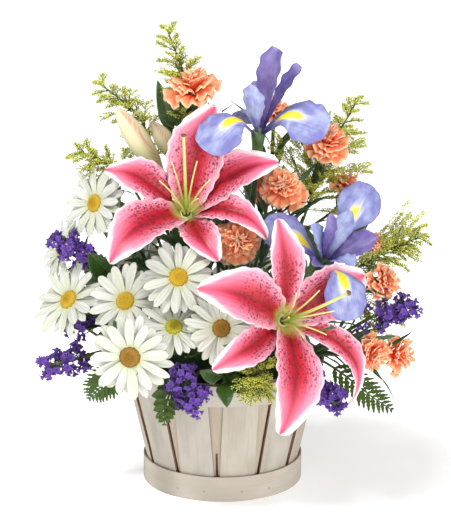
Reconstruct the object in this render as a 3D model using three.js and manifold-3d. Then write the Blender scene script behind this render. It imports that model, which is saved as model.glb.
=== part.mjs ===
// A flower basket arrangement: lilies, irises, carnations, daisies, statice, goldenrod and foliage
// standing in wet foam, inside a lined basket of whitewashed wood strips.
// Millimetres, +Z up. The origin is the middle of the basket's underside, and -Y is the arrangement's front.
import * as THREE from "three";
import { mergeVertices } from "three/addons/utils/BufferGeometryUtils.js";
import Module from "manifold-3d";

const wasm = await Module();
wasm.setup();

// Driving dimensions of the basket.
const STAVE_RADIUS = 73; // middle of the strips' thickness, below the knee
const KNEE_HEIGHT = 24; // the strips stand upright up to here, and flare above
const FLARE = 0.222; // how far the strips lean out for each millimetre of height
const RIM_HEIGHT = 119;
const STRIP_WIDTH = 33;
const STRIP_THICKNESS = 1;
const STRIP_STEP = 1.4; // each strip crosses over the last one under the base
const STRIP_COUNT = 6;
const FRONT_GAP_TURN = -4; // degrees from the front to the middle of the front gap
const HOOP_THICKNESS = 1.6;
const HOOP_SEGMENTS = 28;
const RIM_HOOP_WIDTH = 21;
const CLEARANCE = 0.4; // between pieces that lie on each other
const BASE_THICKNESS = 6;
const LINER_THICKNESS = 1.2;
const SLIT_WIDTH = 2.6;
const HOOP_SAG = 0.62; // how far the hoops' flat facets come inside their corners
const TONGUE_SAG = 0.9; // how far the flat facets of the inner veneer's tongues come inside their corners
const TURNED_SEGMENTS = 18; // of what is seen little: the base, the liner and the foam

// Driving dimensions of the foam and of what stands in it.
const FOAM_CENTRE = new THREE.Vector3(0, 0, 88); // every stem points at this spot
const FOAM_RADIUS = 62;
const FOAM_TOP = 148;
const STEM_DEPTH_RADIUS = 35; // how near to the foam's centre a stem ends
const STEM_SIDES = 3;
const STEM_GAP = 0.45;
const PETAL_GAP = 0.45;
const LOWEST_STEM = 24; // degrees above level at which a stem clears the rim
const TURN = Math.PI * 2;

const V = (x, y, z) => new THREE.Vector3(x, y, z);
const radians = THREE.MathUtils.degToRad;
const mix = THREE.MathUtils.lerp;

// A seeded draw from 0 to 1, alike on every run.
function seeded(seed) {
  let state = seed * 2654435761;
  return () => {
    state = (state + 0x6d2b79f5) | 0;
    let t = Math.imul(state ^ (state >>> 15), 1 | state);
    t = (t + Math.imul(t ^ (t >>> 7), 61 | t)) ^ t;
    return ((t ^ (t >>> 14)) >>> 0) / 4294967296;
  };
}

// Meshes from points and triangles.

function indexed(points, faces) {
  const geometry = new THREE.BufferGeometry();
  geometry.setAttribute("position", new THREE.Float32BufferAttribute(points.flatMap((p) => [p.x, p.y, p.z]), 3));
  geometry.setIndex(faces.flat());
  return geometry;
}

function pointsOf(geometry) {
  const position = geometry.getAttribute("position");
  return Array.from({ length: position.count }, (_, i) => new THREE.Vector3().fromBufferAttribute(position, i));
}

// A closed mesh with every face moved out by the gap. Each vertex goes out between the faces that meet at it.
function grown(geometry, gap) {
  const points = pointsOf(geometry);
  const index = geometry.index.array;
  const normals = points.map(() => []);
  for (let i = 0; i < index.length; i += 3) {
    const corners = [index[i], index[i + 1], index[i + 2]];
    const [a, b, c] = corners.map((k) => points[k]);
    const normal = b.clone().sub(a).cross(c.clone().sub(a));
    if (normal.length() < 1e-9) continue;
    normal.normalize();
    for (const k of corners) if (normals[k].every((n) => n.dot(normal) < 0.98)) normals[k].push(normal);
  }
  const moved = points.map((p, k) => {
    const out = normals[k].reduce((sum, n) => sum.add(n), V(0, 0, 0)).normalize();
    const least = Math.max(0.4, Math.min(...normals[k].map((n) => n.dot(out))));
    return p.clone().addScaledVector(out, gap / least);
  });
  return geometry.clone().setFromPoints(moved);
}

// An open surface given the thickness of a petal, leaf or veneer, and closed along its edge.
function thicken(points, faces, thickness) {
  const surface = indexed(points, faces);
  surface.computeVertexNormals();
  const normal = surface.getAttribute("normal");
  const side = (way) =>
    points.map((p, i) =>
      p.clone().addScaledVector(new THREE.Vector3().fromBufferAttribute(normal, i), (way * thickness) / 2),
    );
  const count = points.length;
  const edges = new Set(faces.flatMap(([a, b, c]) => [`${a},${b}`, `${b},${c}`, `${c},${a}`]));
  const closed = [...faces, ...faces.map(([a, b, c]) => [a + count, c + count, b + count])];
  for (const edge of edges) {
    const [a, b] = edge.split(",").map(Number);
    if (!edges.has(`${b},${a}`)) closed.push([b, a, a + count], [b, a + count, b + count]);
  }
  return indexed([...side(1), ...side(-1)], closed);
}

// A sheet of rows by cols cells. at(t, s) gives its middle, with t from 0 to 1 along and s from -1 to 1 across.
function sheet(rows, cols, at, thickness) {
  const points = [];
  const faces = [];
  for (let i = 0; i <= rows; i++) for (let j = 0; j <= cols; j++) points.push(at(i / rows, (2 * j) / cols - 1));
  for (let i = 0; i < rows; i++)
    for (let j = 0; j < cols; j++) {
      const a = i * (cols + 1) + j;
      faces.push([a, a + cols + 1, a + cols + 2], [a, a + cols + 2, a + 1]);
    }
  return thicken(points, faces, thickness);
}

// Rings of points, of any counts, joined into one closed skin. A ring of one point is a pole.
function skin(rings) {
  const faces = [];
  let start = 0;
  for (let r = 0; r + 1 < rings.length; r++) {
    const n = rings[r].length;
    const m = rings[r + 1].length;
    const after = start + n;
    let i = 0;
    let j = 0;
    while (i < n || j < m) {
      if (j === m || (i < n && (i + 1) / n <= (j + 1) / m)) {
        if (n > 1) faces.push([start + i, start + ((i + 1) % n), after + (j % m)]);
        i += 1;
      } else {
        if (m > 1) faces.push([start + (i % n), after + ((j + 1) % m), after + j]);
        j += 1;
      }
    }
    start = after;
  }
  return indexed(rings.flat(), faces);
}

const ringOf = (count, radius, z) =>
  Array.from({ length: count }, (_, k) => V(radius, 0, z).applyAxisAngle(V(0, 0, 1), (k / count) * TURN));

// A tapering limb with rings of few sides round a line of points.
function limb(points, radii, sides = STEM_SIDES) {
  const rings = [];
  let across = null;
  points.forEach((p, i) => {
    const along = points[Math.min(i + 1, points.length - 1)].clone().sub(points[Math.max(i - 1, 0)]).normalize();
    if (!across) across = Math.abs(along.z) < 0.9 ? V(0, 0, 1) : V(1, 0, 0);
    across = across.clone().addScaledVector(along, -across.dot(along)).normalize();
    const third = along.clone().cross(across);
    for (let k = 0; k < sides; k++) {
      const turn = (k / sides) * TURN;
      rings.push(
        p.clone().addScaledVector(across, radii[i] * Math.cos(turn)).addScaledVector(third, radii[i] * Math.sin(turn)),
      );
    }
  });
  const faces = [];
  for (let i = 0; i < points.length - 1; i++)
    for (let k = 0; k < sides; k++) {
      const a = i * sides + k;
      const b = i * sides + ((k + 1) % sides);
      faces.push([a, b, b + sides], [a, b + sides, a + sides]);
    }
  const last = (points.length - 1) * sides;
  for (let k = 1; k < sides - 1; k++) faces.push([0, k + 1, k], [last, last + k, last + k + 1]);
  return indexed(rings, faces);
}

// A closed profile of [radius, height] pairs turned round the upright axis.
function turned(profile, segments = HOOP_SEGMENTS) {
  const lathe = new THREE.LatheGeometry(profile.map(([r, z]) => new THREE.Vector2(r, z)), segments);
  lathe.rotateX(Math.PI / 2);
  lathe.deleteAttribute("normal");
  lathe.deleteAttribute("uv");
  return mergeVertices(lathe, 1e-4);
}

// Solids.

function solid(geometry) {
  const body = new wasm.Manifold(
    new wasm.Mesh({
      numProp: 3,
      vertProperties: new Float32Array(geometry.getAttribute("position").array),
      triVerts: new Uint32Array(geometry.index.array),
    }),
  );
  if (body.volume() > 0) return body;
  const index = geometry.index.array;
  for (let i = 0; i < index.length; i += 3) [index[i + 1], index[i + 2]] = [index[i + 2], index[i + 1]];
  return solid(geometry);
}

const fused = (geometries) => geometries.map(solid).reduce((whole, next) => whole.add(next));
const shellOf = (geometries, gap) => fused(geometries.flatMap((g) => [g, grown(g, gap)]));

function touching(a, b) {
  const p = a.boundingBox();
  const q = b.boundingBox();
  return [0, 1, 2].every((k) => p.min[k] < q.max[k] && q.min[k] < p.max[k]);
}

// The largest body of a solid. Scraps that a cut left loose are dropped.
const largest = (body) => body.decompose().reduce((best, next) => (next.volume() > best.volume() ? next : best));

function meshOf(name, body, material) {
  const made = body.getMesh();
  const geometry = new THREE.BufferGeometry();
  geometry.setAttribute("position", new THREE.BufferAttribute(made.vertProperties, 3));
  geometry.setIndex(new THREE.BufferAttribute(made.triVerts, 1));
  geometry.computeVertexNormals();
  const mesh = new THREE.Mesh(geometry, material);
  mesh.name = name;
  return mesh;
}

const material = (color, roughness) => new THREE.MeshStandardMaterial({ color, roughness, metalness: 0 });
const WOOD = material(0xd9cfc0, 0.8);
const LINER = material(0x4a3a2c, 0.5);
const FOAM = material(0x3f6b3c, 0.95);
const LILY = material(0xd9426a, 0.5);
const IRIS = material(0x8f8fd6, 0.5);
const CARNATION = material(0xf2906a, 0.7);
const DAISY = material(0xf4f3ec, 0.6);
const STATICE = material(0x5a2fa0, 0.8);
const GOLDENROD = material(0xa8b42c, 0.8);
const GREEN = material(0x3d6428, 0.6);
const BUD = material(0xd9cdaa, 0.5);

// The basket.

const staveRadius = (z) => STAVE_RADIUS + Math.max(0, z - KNEE_HEIGHT) * FLARE;
const frontTurn = (degrees) => radians(degrees - 90); // 0 is the front, and the angle grows to the right

// One long strip: up one side, under the base and up the other side.
function strip(number) {
  const middle = frontTurn(FRONT_GAP_TURN + 15 + number * 30);
  const foot = STRIP_THICKNESS / 2 + number * STRIP_STEP;
  const stations = [RIM_HEIGHT - 1, KNEE_HEIGHT, foot];
  const upright = (z, way, s) => {
    const radius = staveRadius(z);
    const turn = (s * STRIP_WIDTH) / 2 / radius;
    return V(way * radius * Math.cos(turn), radius * Math.sin(turn), z).applyAxisAngle(V(0, 0, 1), middle);
  };
  const rows = stations.length * 2 - 1;
  return sheet(
    rows,
    2,
    (t, s) => {
      const row = Math.round(t * rows);
      const near = row < stations.length;
      return upright(stations[near ? row : rows - row], near ? 1 : -1, s);
    },
    STRIP_THICKNESS,
  );
}

// A ring that follows the flare between two heights. offset is from the middle of the strips to its own middle.
function hoop(low, high, offset, thickness) {
  const face = (z, side) => [staveRadius(z) + offset + (side * thickness) / 2, z];
  const levels = low < KNEE_HEIGHT && high > KNEE_HEIGHT ? [low, KNEE_HEIGHT, high] : [low, high];
  return turned([
    ...levels.map((z) => face(z, 1)),
    ...levels.toReversed().map((z) => face(z, -1)),
    face(low, 1),
  ]);
}

const outsideStrips = STRIP_THICKNESS / 2 + CLEARANCE + HOOP_SAG + HOOP_THICKNESS / 2;
const sleeveOffset = -(STRIP_THICKNESS + CLEARANCE + 0.4);
const innerHoopOffset = sleeveOffset - STRIP_THICKNESS / 2 - CLEARANCE - TONGUE_SAG - HOOP_THICKNESS / 2;
const floorTop = STRIP_STEP * STRIP_COUNT + CLEARANCE;

// The inner veneer closes the gaps between the strips. Below its top band it is cut into tongues by a slit
// along the outer edge of each gap, and by a shorter one in the middle of the front gap.
function innerVeneer() {
  const low = KNEE_HEIGHT;
  const high = RIM_HEIGHT - 2;
  const gaps = STRIP_COUNT * 2;
  const point = (turn, z) => V(Math.cos(turn), Math.sin(turn), 0).multiplyScalar(staveRadius(z) + sleeveOffset).setZ(z);
  const points = [];
  const faces = [];
  const cell = (a, b, c, d) => faces.push([a, b, c], [a, c, d]);
  const columns = gaps * 3;
  for (let k = 0; k < gaps; k++) {
    const degrees = FRONT_GAP_TURN + k * 30;
    const side = k % 6 === 0 ? 0 : Math.sign(Math.sin(radians(degrees)));
    const top = k === 0 ? 62 : 98;
    const slitTurn = (z) => side * ((Math.PI * staveRadius(z)) / gaps - STRIP_WIDTH / 2 - SLIT_WIDTH / 2);
    for (const edge of [-1, 1])
      for (const z of [low, top, high]) {
        const turn = frontTurn(degrees) + (slitTurn(z) + (edge * SLIT_WIDTH) / 2) / staveRadius(z);
        points.push(point(turn, z));
      }
    for (const z of [low, top, high]) points.push(point(frontTurn(degrees + 15), z));
  }
  for (let c = 0; c < columns; c++) {
    const a = c * 3;
    const b = ((c + 1) % columns) * 3;
    if (c % 3 > 0) cell(a, b, b + 1, a + 1);
    cell(a + 1, b + 1, b + 2, a + 2);
  }
  return solid(thicken(points, faces, STRIP_THICKNESS));
}

function liner() {
  const inset = innerHoopOffset - HOOP_THICKNESS / 2 - CLEARANCE - HOOP_SAG;
  const low = floorTop + BASE_THICKNESS + CLEARANCE;
  const outer = (z) => staveRadius(z) + inset;
  const high = RIM_HEIGHT - 7;
  return turned([
    [0, low],
    [outer(low), low],
    [outer(KNEE_HEIGHT), KNEE_HEIGHT],
    [outer(high), high],
    [outer(high) - LINER_THICKNESS, high],
    [outer(KNEE_HEIGHT) - LINER_THICKNESS, KNEE_HEIGHT],
    [outer(low) - LINER_THICKNESS, low + LINER_THICKNESS],
    [0, low + LINER_THICKNESS],
  ], TURNED_SEGMENTS);
}

const FOAM_FOOT = floorTop + BASE_THICKNESS + LINER_THICKNESS + CLEARANCE * 2;
const foam = () =>
  turned(
    [
      [0, FOAM_FOOT],
      [FOAM_RADIUS, FOAM_FOOT],
      [FOAM_RADIUS, FOAM_TOP - 26],
      [FOAM_RADIUS - 20, FOAM_TOP],
      [0, FOAM_TOP],
    ],
    12,
  );

// Frames. A bloom's own +Z is the way it faces, its +X is to the viewer's right and its +Y is upward.

function frameOf(at, facing, roll = 0) {
  const z = V(...facing).normalize();
  const up = Math.abs(z.z) > 0.985 ? V(0, 1, 0) : V(0, 0, 1);
  const y = up.addScaledVector(z, -up.dot(z)).normalize();
  const x = y.clone().cross(z);
  return new THREE.Matrix4()
    .makeBasis(x, y, z)
    .multiply(new THREE.Matrix4().makeRotationZ(radians(roll)))
    .setPosition(V(...at));
}

// A petal in its bloom's frame. lean(t) is the angle in degrees between its midline and the bloom's axis.
// twist is how far the blade has turned about its midline at the tip, and veer how far the tip has swung round.
function petal(spec) {
  const { around, length, width, lean, rows, cols } = spec;
  const { start = 0, rise = 0, cup = 0, wave = 0, waves = 2, twist = 0, veer = 0, thickness = 0.9 } = spec;
  const line = [V(start, 0, rise)];
  const substeps = 6;
  for (let i = 1; i <= rows * substeps; i++) {
    const angle = radians(lean((i - 0.5) / (rows * substeps)));
    const step = length / (rows * substeps);
    const from = line[line.length - 1];
    line.push(V(from.x + step * Math.sin(angle), 0, from.z + step * Math.cos(angle)));
  }
  return sheet(
    rows,
    cols,
    (t, s) => {
      const angle = radians(lean(t));
      const across = (s * width(t)) / 2;
      const roll = radians(twist) * t;
      const curl = ((cup * width(t)) / 2) * s * s + wave * Math.sin(waves * TURN * t + (s > 0 ? 1 : 0)) * s * s;
      const lift = curl + across * Math.sin(roll);
      const middle = line[Math.round(t * rows * substeps)];
      const point = V(middle.x - lift * Math.cos(angle), across * Math.cos(roll), middle.z + lift * Math.sin(angle));
      return point.applyAxisAngle(V(0, 0, 1), radians(around + veer * t * t));
    },
    thickness,
  );
}

// Width along a petal or leaf: from root to the widest place, then to the tip.
const outline = (root, widest, place, tip) => (t) =>
  t < place
    ? mix(root, widest, (1 - Math.cos((t / place) * Math.PI)) / 2)
    : mix(tip, widest, Math.max(0, Math.cos((((t - place) / (1 - place)) * Math.PI) / 2)) ** 0.8);

// As outline, but it widens from the root at once, and its tip is blunter.
const fullOutline = (root, widest, place, tip) => (t) =>
  t < place
    ? mix(root, widest, Math.sin(((t / place) * Math.PI) / 2))
    : mix(tip, widest, Math.max(0, Math.cos((((t - place) / (1 - place)) * Math.PI) / 2)) ** 0.4);

// Stems. Each leaves the foam along the free direction nearest to its bloom, clear of the rim and of other stems.

const laid = []; // straight runs of the stems laid so far, each with its ends and radius
const heads = []; // middles of the blooms, which stems go round

function cubic(a, b, c, d, t) {
  const u = 1 - t;
  return a.clone().multiplyScalar(u * u * u).addScaledVector(b, 3 * u * u * t).addScaledVector(c, 3 * u * t * t)
    .addScaledVector(d, t * t * t);
}

function stemLine(direction, end, away, steps) {
  const surface = FOAM_CENTRE.clone().addScaledVector(direction, FOAM_RADIUS + 8);
  const reach = surface.distanceTo(end);
  const leave = surface.clone().addScaledVector(direction, reach * 0.35);
  const meet = end.clone().addScaledVector(away, reach * 0.3);
  const line = [FOAM_CENTRE.clone().addScaledVector(direction, STEM_DEPTH_RADIUS)];
  for (let i = 0; i <= steps; i++) line.push(cubic(surface, leave, meet, end, i / steps));
  return line;
}

// The least distance between the straight runs a-b and c-d.
function apart(a, b, c, d) {
  const u = b.clone().sub(a);
  const v = d.clone().sub(c);
  const w = a.clone().sub(c);
  const [uu, uv, vv, uw, vw] = [u.dot(u) || 1e-9, u.dot(v), v.dot(v) || 1e-9, u.dot(w), v.dot(w)];
  const clip = (x) => THREE.MathUtils.clamp(x, 0, 1);
  const flat = uu * vv - uv * uv;
  let s = flat > 1e-9 ? clip((uv * vw - vv * uw) / flat) : 0;
  const t = clip((vw + uv * s) / vv);
  s = clip((uv * t - uw) / uu);
  return a.clone().addScaledVector(u, s).distanceTo(c.clone().addScaledVector(v, t));
}

const keep = (line, radius) => line.slice(1).forEach((b, i) => laid.push({ a: line[i], b, radius }));

// How badly a line of the given radius runs into the rim, other stems or blooms. 0 is free.
function trouble(line, radius) {
  let sum = 0;
  line.slice(1).forEach((b, i) => {
    const a = line[i];
    for (const share of [0.2, 0.4, 0.6, 0.8, 1]) {
      const p = a.clone().lerp(b, share);
      const out = Math.hypot(p.x, p.y);
      if (out > 78 && out < 100 && p.z < RIM_HEIGHT + 2.5 + radius) sum += 40;
    }
    for (const run of laid) if (apart(a, b, run.a, run.b) < radius + run.radius + 1) sum += 20;
    for (const head of heads) {
      const own = line[line.length - 1].distanceTo(head.at) < head.radius + 14;
      if (!own && apart(a, b, head.at, head.at) < head.radius + radius) sum += 3;
    }
  });
  return sum;
}

// Lays a stem to end, which it meets from the direction `away`, and gives its points.
function layStem(end, away, radius, segments = 4) {
  const ideal = end.clone().sub(FOAM_CENTRE).normalize();
  let best = null;
  for (const swing of [0, 5, 10, 15, 20, 26, 32]) {
    for (let k = 0; k < (swing ? 12 : 1); k++) {
      const side = Math.abs(ideal.z) > 0.95 ? V(1, 0, 0) : V(0, 0, 1);
      const hinge = ideal.clone().cross(side).normalize().applyAxisAngle(ideal, (k / 12) * TURN);
      const direction = ideal.clone().applyAxisAngle(hinge, radians(swing));
      const level = Math.hypot(direction.x, direction.y);
      if (Math.atan2(direction.z, level) < radians(LOWEST_STEM)) {
        direction.z = level * Math.tan(radians(LOWEST_STEM));
        direction.normalize();
      }
      const cost = trouble(stemLine(direction, end, away, segments), radius) + swing * 0.1;
      if (!best || cost < best.cost) best = { cost, direction };
    }
    if (best.cost < 3) break;
  }
  const line = stemLine(best.direction, end, away, segments);
  keep(line, radius);
  return line;
}

// The plants, each with firm pieces, which are kept whole, and soft ones, which give way where they cross.

const plants = [];
const plant = (name, look, firm, soft) => plants.push({ name, look, firm, soft });
const placed = (geometries, frame) => geometries.map((g) => g.applyMatrix4(frame));
const backOf = (facing) => V(...facing).normalize().negate();

// A stem with a thicker top, such as a receptacle. top holds pairs of a distance behind the bloom and a radius.
function stemTo(at, facing, radius, top, sides = STEM_SIDES) {
  const away = backOf(facing);
  const end = V(...at).addScaledVector(away, top[top.length - 1][0]);
  const line = layStem(end, away, radius, end.distanceTo(FOAM_CENTRE) < 160 ? 3 : 4);
  const thick = top.toReversed().map(([back, r]) => ({ p: V(...at).addScaledVector(away, back), r }));
  keep(thick.map(({ p }) => p), Math.max(...thick.map(({ r }) => r)));
  const below = line.slice(0, -1);
  const points = [...below, ...thick.map((q) => q.p)];
  const radii = [...below.map(() => radius), ...thick.map((q) => q.r)];
  return { shape: limb(points, radii, sides), line };
}

// Lilies: three wide tepals and three narrow ones, with the pistil and bare filaments standing out of the throat.
const TEPAL_LENGTH = 118;
const WIDE_TEPAL = 40; // a tepal wider than this is one of the three inner, wavier ones

function lily(name, { at, facing, tepals, sweep }) {
  const frame = frameOf(at, facing);
  const blades = tepals.map(({ around, widest, length, first, last, veer }) => {
    const wide = widest > WIDE_TEPAL;
    return petal({
      around,
      length: TEPAL_LENGTH * length,
      width: fullOutline(0.2 * widest, widest, 0.56, 3),
      lean: (t) => mix(first, last, t ** 1.35),
      start: wide ? 5.6 : 7.2,
      rise: wide ? 0.4 : 0,
      cup: wide ? 0.28 : 0.22,
      wave: wide ? 2.2 : 1.2,
      veer,
      rows: wide ? 6 : 5,
      cols: wide ? 3 : 2,
      thickness: 1,
    });
  });
  const curved = (around, off, length, first, last, radius) => {
    const points = [V(off, 0, 3)];
    const steps = 2;
    for (let i = 1; i <= steps; i++) {
      const angle = radians(mix(first, last, i / steps));
      const from = points[points.length - 1];
      points.push(V(from.x + (length / steps) * Math.sin(angle), 0, from.z + (length / steps) * Math.cos(angle)));
    }
    points.forEach((p) => p.applyAxisAngle(V(0, 0, 1), radians(around)));
    return limb(points, points.map((_, i) => mix(radius, radius * 0.7, i / steps)), 3);
  };
  const centre = [curved(sweep, 0, 92, 2, 26, 2)];
  for (let k = 0; k < 6; k++) centre.push(curved(sweep + 30 + k * 60, 2.4, 60, 8, 30, 1));
  const receptacle = stemTo(at, facing, 3, [[-6, 4.2], [-0.8, 4.2], [-0.5, 9], [9, 3.6]], 5);
  plant(name, LILY, [receptacle.shape, ...placed(centre, frame)], placed(blades, frame));
}

// Irises: three falls with a round blade beyond the haft, three upright standards and three style arms.
const HAFT_WIDTH = 17;
const FALL_WIDTH = 41;

function iris(name, { at, facing, falls, standards, styles }) {
  const frame = frameOf(at, facing);
  // haft is the share of a fall that its narrow stalk takes up.
  const blade = fullOutline(HAFT_WIDTH, FALL_WIDTH, 0.5, 5);
  const fallWidth = (haft) => (t) => (t < haft ? mix(4.5, HAFT_WIDTH, t / haft) : blade((t - haft) / (1 - haft)));
  const fall = ({ around, haft, first, last, length, twist = 0 }) =>
    petal({
      around,
      length,
      width: fallWidth(haft),
      lean: (t) => mix(first, last, THREE.MathUtils.clamp((t - haft + 0.06) / 0.3, 0, 1)),
      start: 5.4,
      cup: -0.18,
      twist,
      rows: 5,
      cols: 2,
      thickness: 1,
    });
  const upright = ({ around, first, last, length, wide, tip = 4, twist = 0 }, start) =>
    petal({
      around,
      length,
      width: outline(4, wide, 0.75, tip),
      lean: (t) => mix(first, last, t * t),
      start,
      rise: 0.3,
      cup: 0.35,
      twist,
      rows: 2,
      cols: 2,
      thickness: 1,
    });
  const blades = [
    ...falls.map(fall),
    ...standards.map((s) => upright(s, 4)),
    ...styles.map((s) => upright(s, 2)),
  ];
  const spathe = stemTo(at, facing, 2.8, [[-5, 3], [-0.8, 3], [-0.5, 7], [12, 5.5], [46, 3.4]], 5);
  plant(name, IRIS, [spathe.shape], placed(blades, frame));
}

// Carnation: three frilled whorls, one inside the other, on a green calyx.
const CARNATION_FRILLS = 12;
const CARNATION_RINGS = [
  { reach: 0.5, height: 0.02, ruffle: 0 },
  { reach: 1, height: 0.2, ruffle: 0.1 },
  { reach: 0.52, height: 0.24, ruffle: 0 },
  { reach: 0.78, height: 0.52, ruffle: 0.12 },
  { reach: 0.28, height: 0.4, ruffle: 0 },
  { reach: 0.46, height: 0.7, ruffle: 0.1 },
];

function carnationHead(radius, seed) {
  const random = seeded(seed);
  const frills = radius < 20 ? CARNATION_FRILLS - 4 : CARNATION_FRILLS;
  const size = radius / 25;
  const whorl = ({ reach, height, ruffle }, which) =>
    ringOf(frills, radius * reach, radius * height).map((p, k) => {
      const frayed = ruffle ? 0.86 + 0.22 * random() : 1;
      const z = p.z + radius * ruffle * (k % 2 ? 1 : -1) * (0.6 + random());
      return p.multiplyScalar(frayed).setZ(z).applyAxisAngle(V(0, 0, 1), (which >> 1) * 0.5);
    });
  return skin([
    [V(0, 0, -23 * size)],
    ringOf(5, 3 * size, -19 * size),
    ringOf(5, 6.2 * size, -4 * size),
    ...CARNATION_RINGS.map(whorl),
    [V(0, 0, radius * 0.5)],
  ]);
}

function carnation(name, { at, facing, radius, seed, side }) {
  const calyxFoot = (size) => (20 * size) / 25;
  const stem = stemTo(at, facing, 1.8, [[calyxFoot(radius), 1.8]]);
  const firm = [stem.shape];
  const soft = placed([carnationHead(radius, seed)], frameOf(at, facing, seed * 40));
  if (side) {
    // A side bloom branches off below the main one.
    const foot = V(...side.at).addScaledVector(backOf(side.facing), calyxFoot(side.radius));
    const neck = foot.clone().addScaledVector(backOf(side.facing), 12);
    const points = [along(stem.line, side.fork), neck, foot];
    keep(points, 1.3);
    firm.push(limb(points, [1.4, 1.4, 1.4]));
    soft.push(...placed([carnationHead(side.radius, seed + 50)], frameOf(side.at, side.facing, 20)));
  }
  plant(name, CARNATION, firm, soft);
}

// Daisy: strap petals with blunt tips round a domed disc, over a small green receptacle.
const DAISY_PETALS = 12;

function daisyHead(radius, seed) {
  const random = seeded(seed);
  const step = TURN / DAISY_PETALS;
  const border = [];
  const put = (reach, turn, z) => border.push(V(reach * Math.cos(turn), reach * Math.sin(turn), z));
  for (let k = 0; k < DAISY_PETALS; k++) {
    const reach = radius * (0.92 + 0.12 * random());
    const lift = radius * (k % 2 ? 0.12 : -0.03) * (0.6 + random());
    put(radius * 0.38, (k - 0.5) * step, 0);
    put(reach, (k - 0.3) * step, lift);
    put(reach * 0.98, (k + 0.3) * step, lift - radius * 0.03);
  }
  const half = V(0, 0, 0.5);
  return skin([
    [V(0, 0, -6)],
    ringOf(5, 4, -3),
    border.map((p) => p.clone().sub(half)),
    border.map((p) => p.clone().add(half)),
    ringOf(DAISY_PETALS, radius * 0.22, 0.7),
    ringOf(6, radius * 0.17, radius * 0.12),
    [V(0, 0, radius * 0.14)],
  ]);
}

function daisy(name, { at, facing, radius, seed }) {
  const stem = stemTo(at, facing, 1.7, [[3.5, 1.7]]);
  plant(name, DAISY, [stem.shape], placed([daisyHead(radius, seed)], frameOf(at, facing, seed * 23)));
}

// Florets and sprigs along a spray. Each stands off a point of the spray's own line.
function along(line, share) {
  const place = THREE.MathUtils.clamp(share, 0, 1) * (line.length - 1);
  const i = Math.min(Math.floor(place), line.length - 2);
  return line[i].clone().lerp(line[i + 1], place - i);
}

// Statice: papery funnels packed along the upper side of a winged stem.
const funnel = (foot, way, height, width) => limb([foot, foot.clone().addScaledVector(way, height)], [0.8, width], 3);

function statice(name, { at, facing, spread, florets, seed, side }) {
  const random = seeded(seed);
  const way = V(...facing).normalize();
  const line = layStem(V(...at), way.clone().negate(), 1.5);
  const firm = [limb(line, line.map(() => 1.5))];
  const soft = [];
  const cluster = (top, count) => {
    for (let k = 0; k < count; k++) {
      const foot = along(top, mix(0.3, 1, (k + 0.5) / count));
      const reach = spread * (0.6 + 0.4 * random());
      soft.push(() => {
        const swing = V(random() - 0.5, random() - 0.5, random() - 0.5).multiplyScalar(2);
        return funnel(foot, way.clone().multiplyScalar(0.5).add(swing).normalize(), reach, 5.5);
      });
    }
  };
  cluster(line.slice(-3), florets);
  if (side) {
    const branch = [along(line, 0.5), V(...side)];
    keep(branch, 1.3);
    firm.push(limb(branch, [1.2, 1.2]));
    cluster([branch[0].clone().lerp(branch[1], 0.4), branch[1]], Math.ceil(florets / 2));
  }
  plant(name, STATICE, firm, soft);
}

// Goldenrod: beaded sprigs to both sides of an arching stem.
function goldenrod(name, { at, bow, sprigs, length, seed }) {
  const random = seeded(seed);
  const tip = V(...at);
  const line = layStem(tip, V(...bow).normalize().negate(), 1.3);
  const top = line.slice(-3);
  const span = top[0].distanceTo(tip);
  const used = Math.min(1, length / span);
  const pieces = [];
  for (let k = 0; k < sprigs; k++) {
    const share = 1 - used * (1 - (k + 0.4) / sprigs);
    const foot = along(top, share);
    const ahead = along(top, Math.min(1, share + 0.05)).sub(along(top, share - 0.05)).normalize();
    const reach = mix(32, 12, k / sprigs) * (0.8 + 0.4 * random());
    pieces.push((attempt) => {
      const side = ahead.clone().cross(V(0, 0, 1)).normalize().applyAxisAngle(ahead, (k + attempt) * 2.4);
      const way = side.addScaledVector(ahead, 0.9).normalize();
      const points = [0, 0.45, 1].map((d) => foot.clone().addScaledVector(way, reach * d));
      return limb(points, [0.8, 2.5, 0.9], 3);
    });
  }
  const radii = line.map((_, i) => (i < 4 ? 1.4 : mix(1.4, 0.9, (i - 3) / 2)));
  plant(name, GOLDENROD, [limb(line, radii)], pieces);
}

// A leaf blade along a bowed line, with its face turned to `face`.
function blade(from, to, bow, face, width) {
  const middle = from.clone().lerp(to, 0.5).add(bow);
  const look = face.clone().normalize();
  return sheet(
    2,
    2,
    (t, s) => {
      const p = cubic(from, middle, middle, to, t);
      const before = cubic(from, middle, middle, to, t - 0.02);
      const ahead = cubic(from, middle, middle, to, Math.min(1, t + 0.02)).sub(before);
      const across = ahead.cross(look).normalize();
      const half = outline(1.6, width, 0.42, 1.6)(t) / 2;
      return p.addScaledVector(across, s * half).addScaledVector(look, half * 0.3 * Math.abs(s));
    },
    0.9,
  );
}

// A leafy stem: broad leaves turned round it from near the foam upward, and one at the tip.
function leafyStem(name, { at, bow, leaves, size, face }) {
  const line = layStem(V(...at), V(...bow).normalize().negate(), 1.4);
  const visible = line.slice(1);
  const pieces = [];
  for (let k = 0; k < leaves; k++) {
    const share = mix(0.35, 0.97, k / (leaves - 1));
    const foot = along(visible, share);
    const ahead = along(visible, share + 0.1).sub(along(visible, share - 0.1)).normalize();
    pieces.push((attempt) => {
      const last = k === leaves - 1;
      const side = ahead.clone().cross(V(...face)).normalize().applyAxisAngle(ahead, k * 2.4 + attempt * 0.8);
      const way = ahead.clone().multiplyScalar(last ? 3 : 0.7);
      way.addScaledVector(side, last ? 0.4 * attempt : 1).normalize();
      const look = last ? V(...face) : ahead.clone().addScaledVector(way, -ahead.dot(way));
      const tip = foot.clone().addScaledVector(way, size);
      return blade(foot, tip, look.setLength(size * 0.08), look, size * 0.46);
    });
  }
  plant(name, GREEN, [limb(line, line.map(() => 1.4))], pieces);
}

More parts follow.
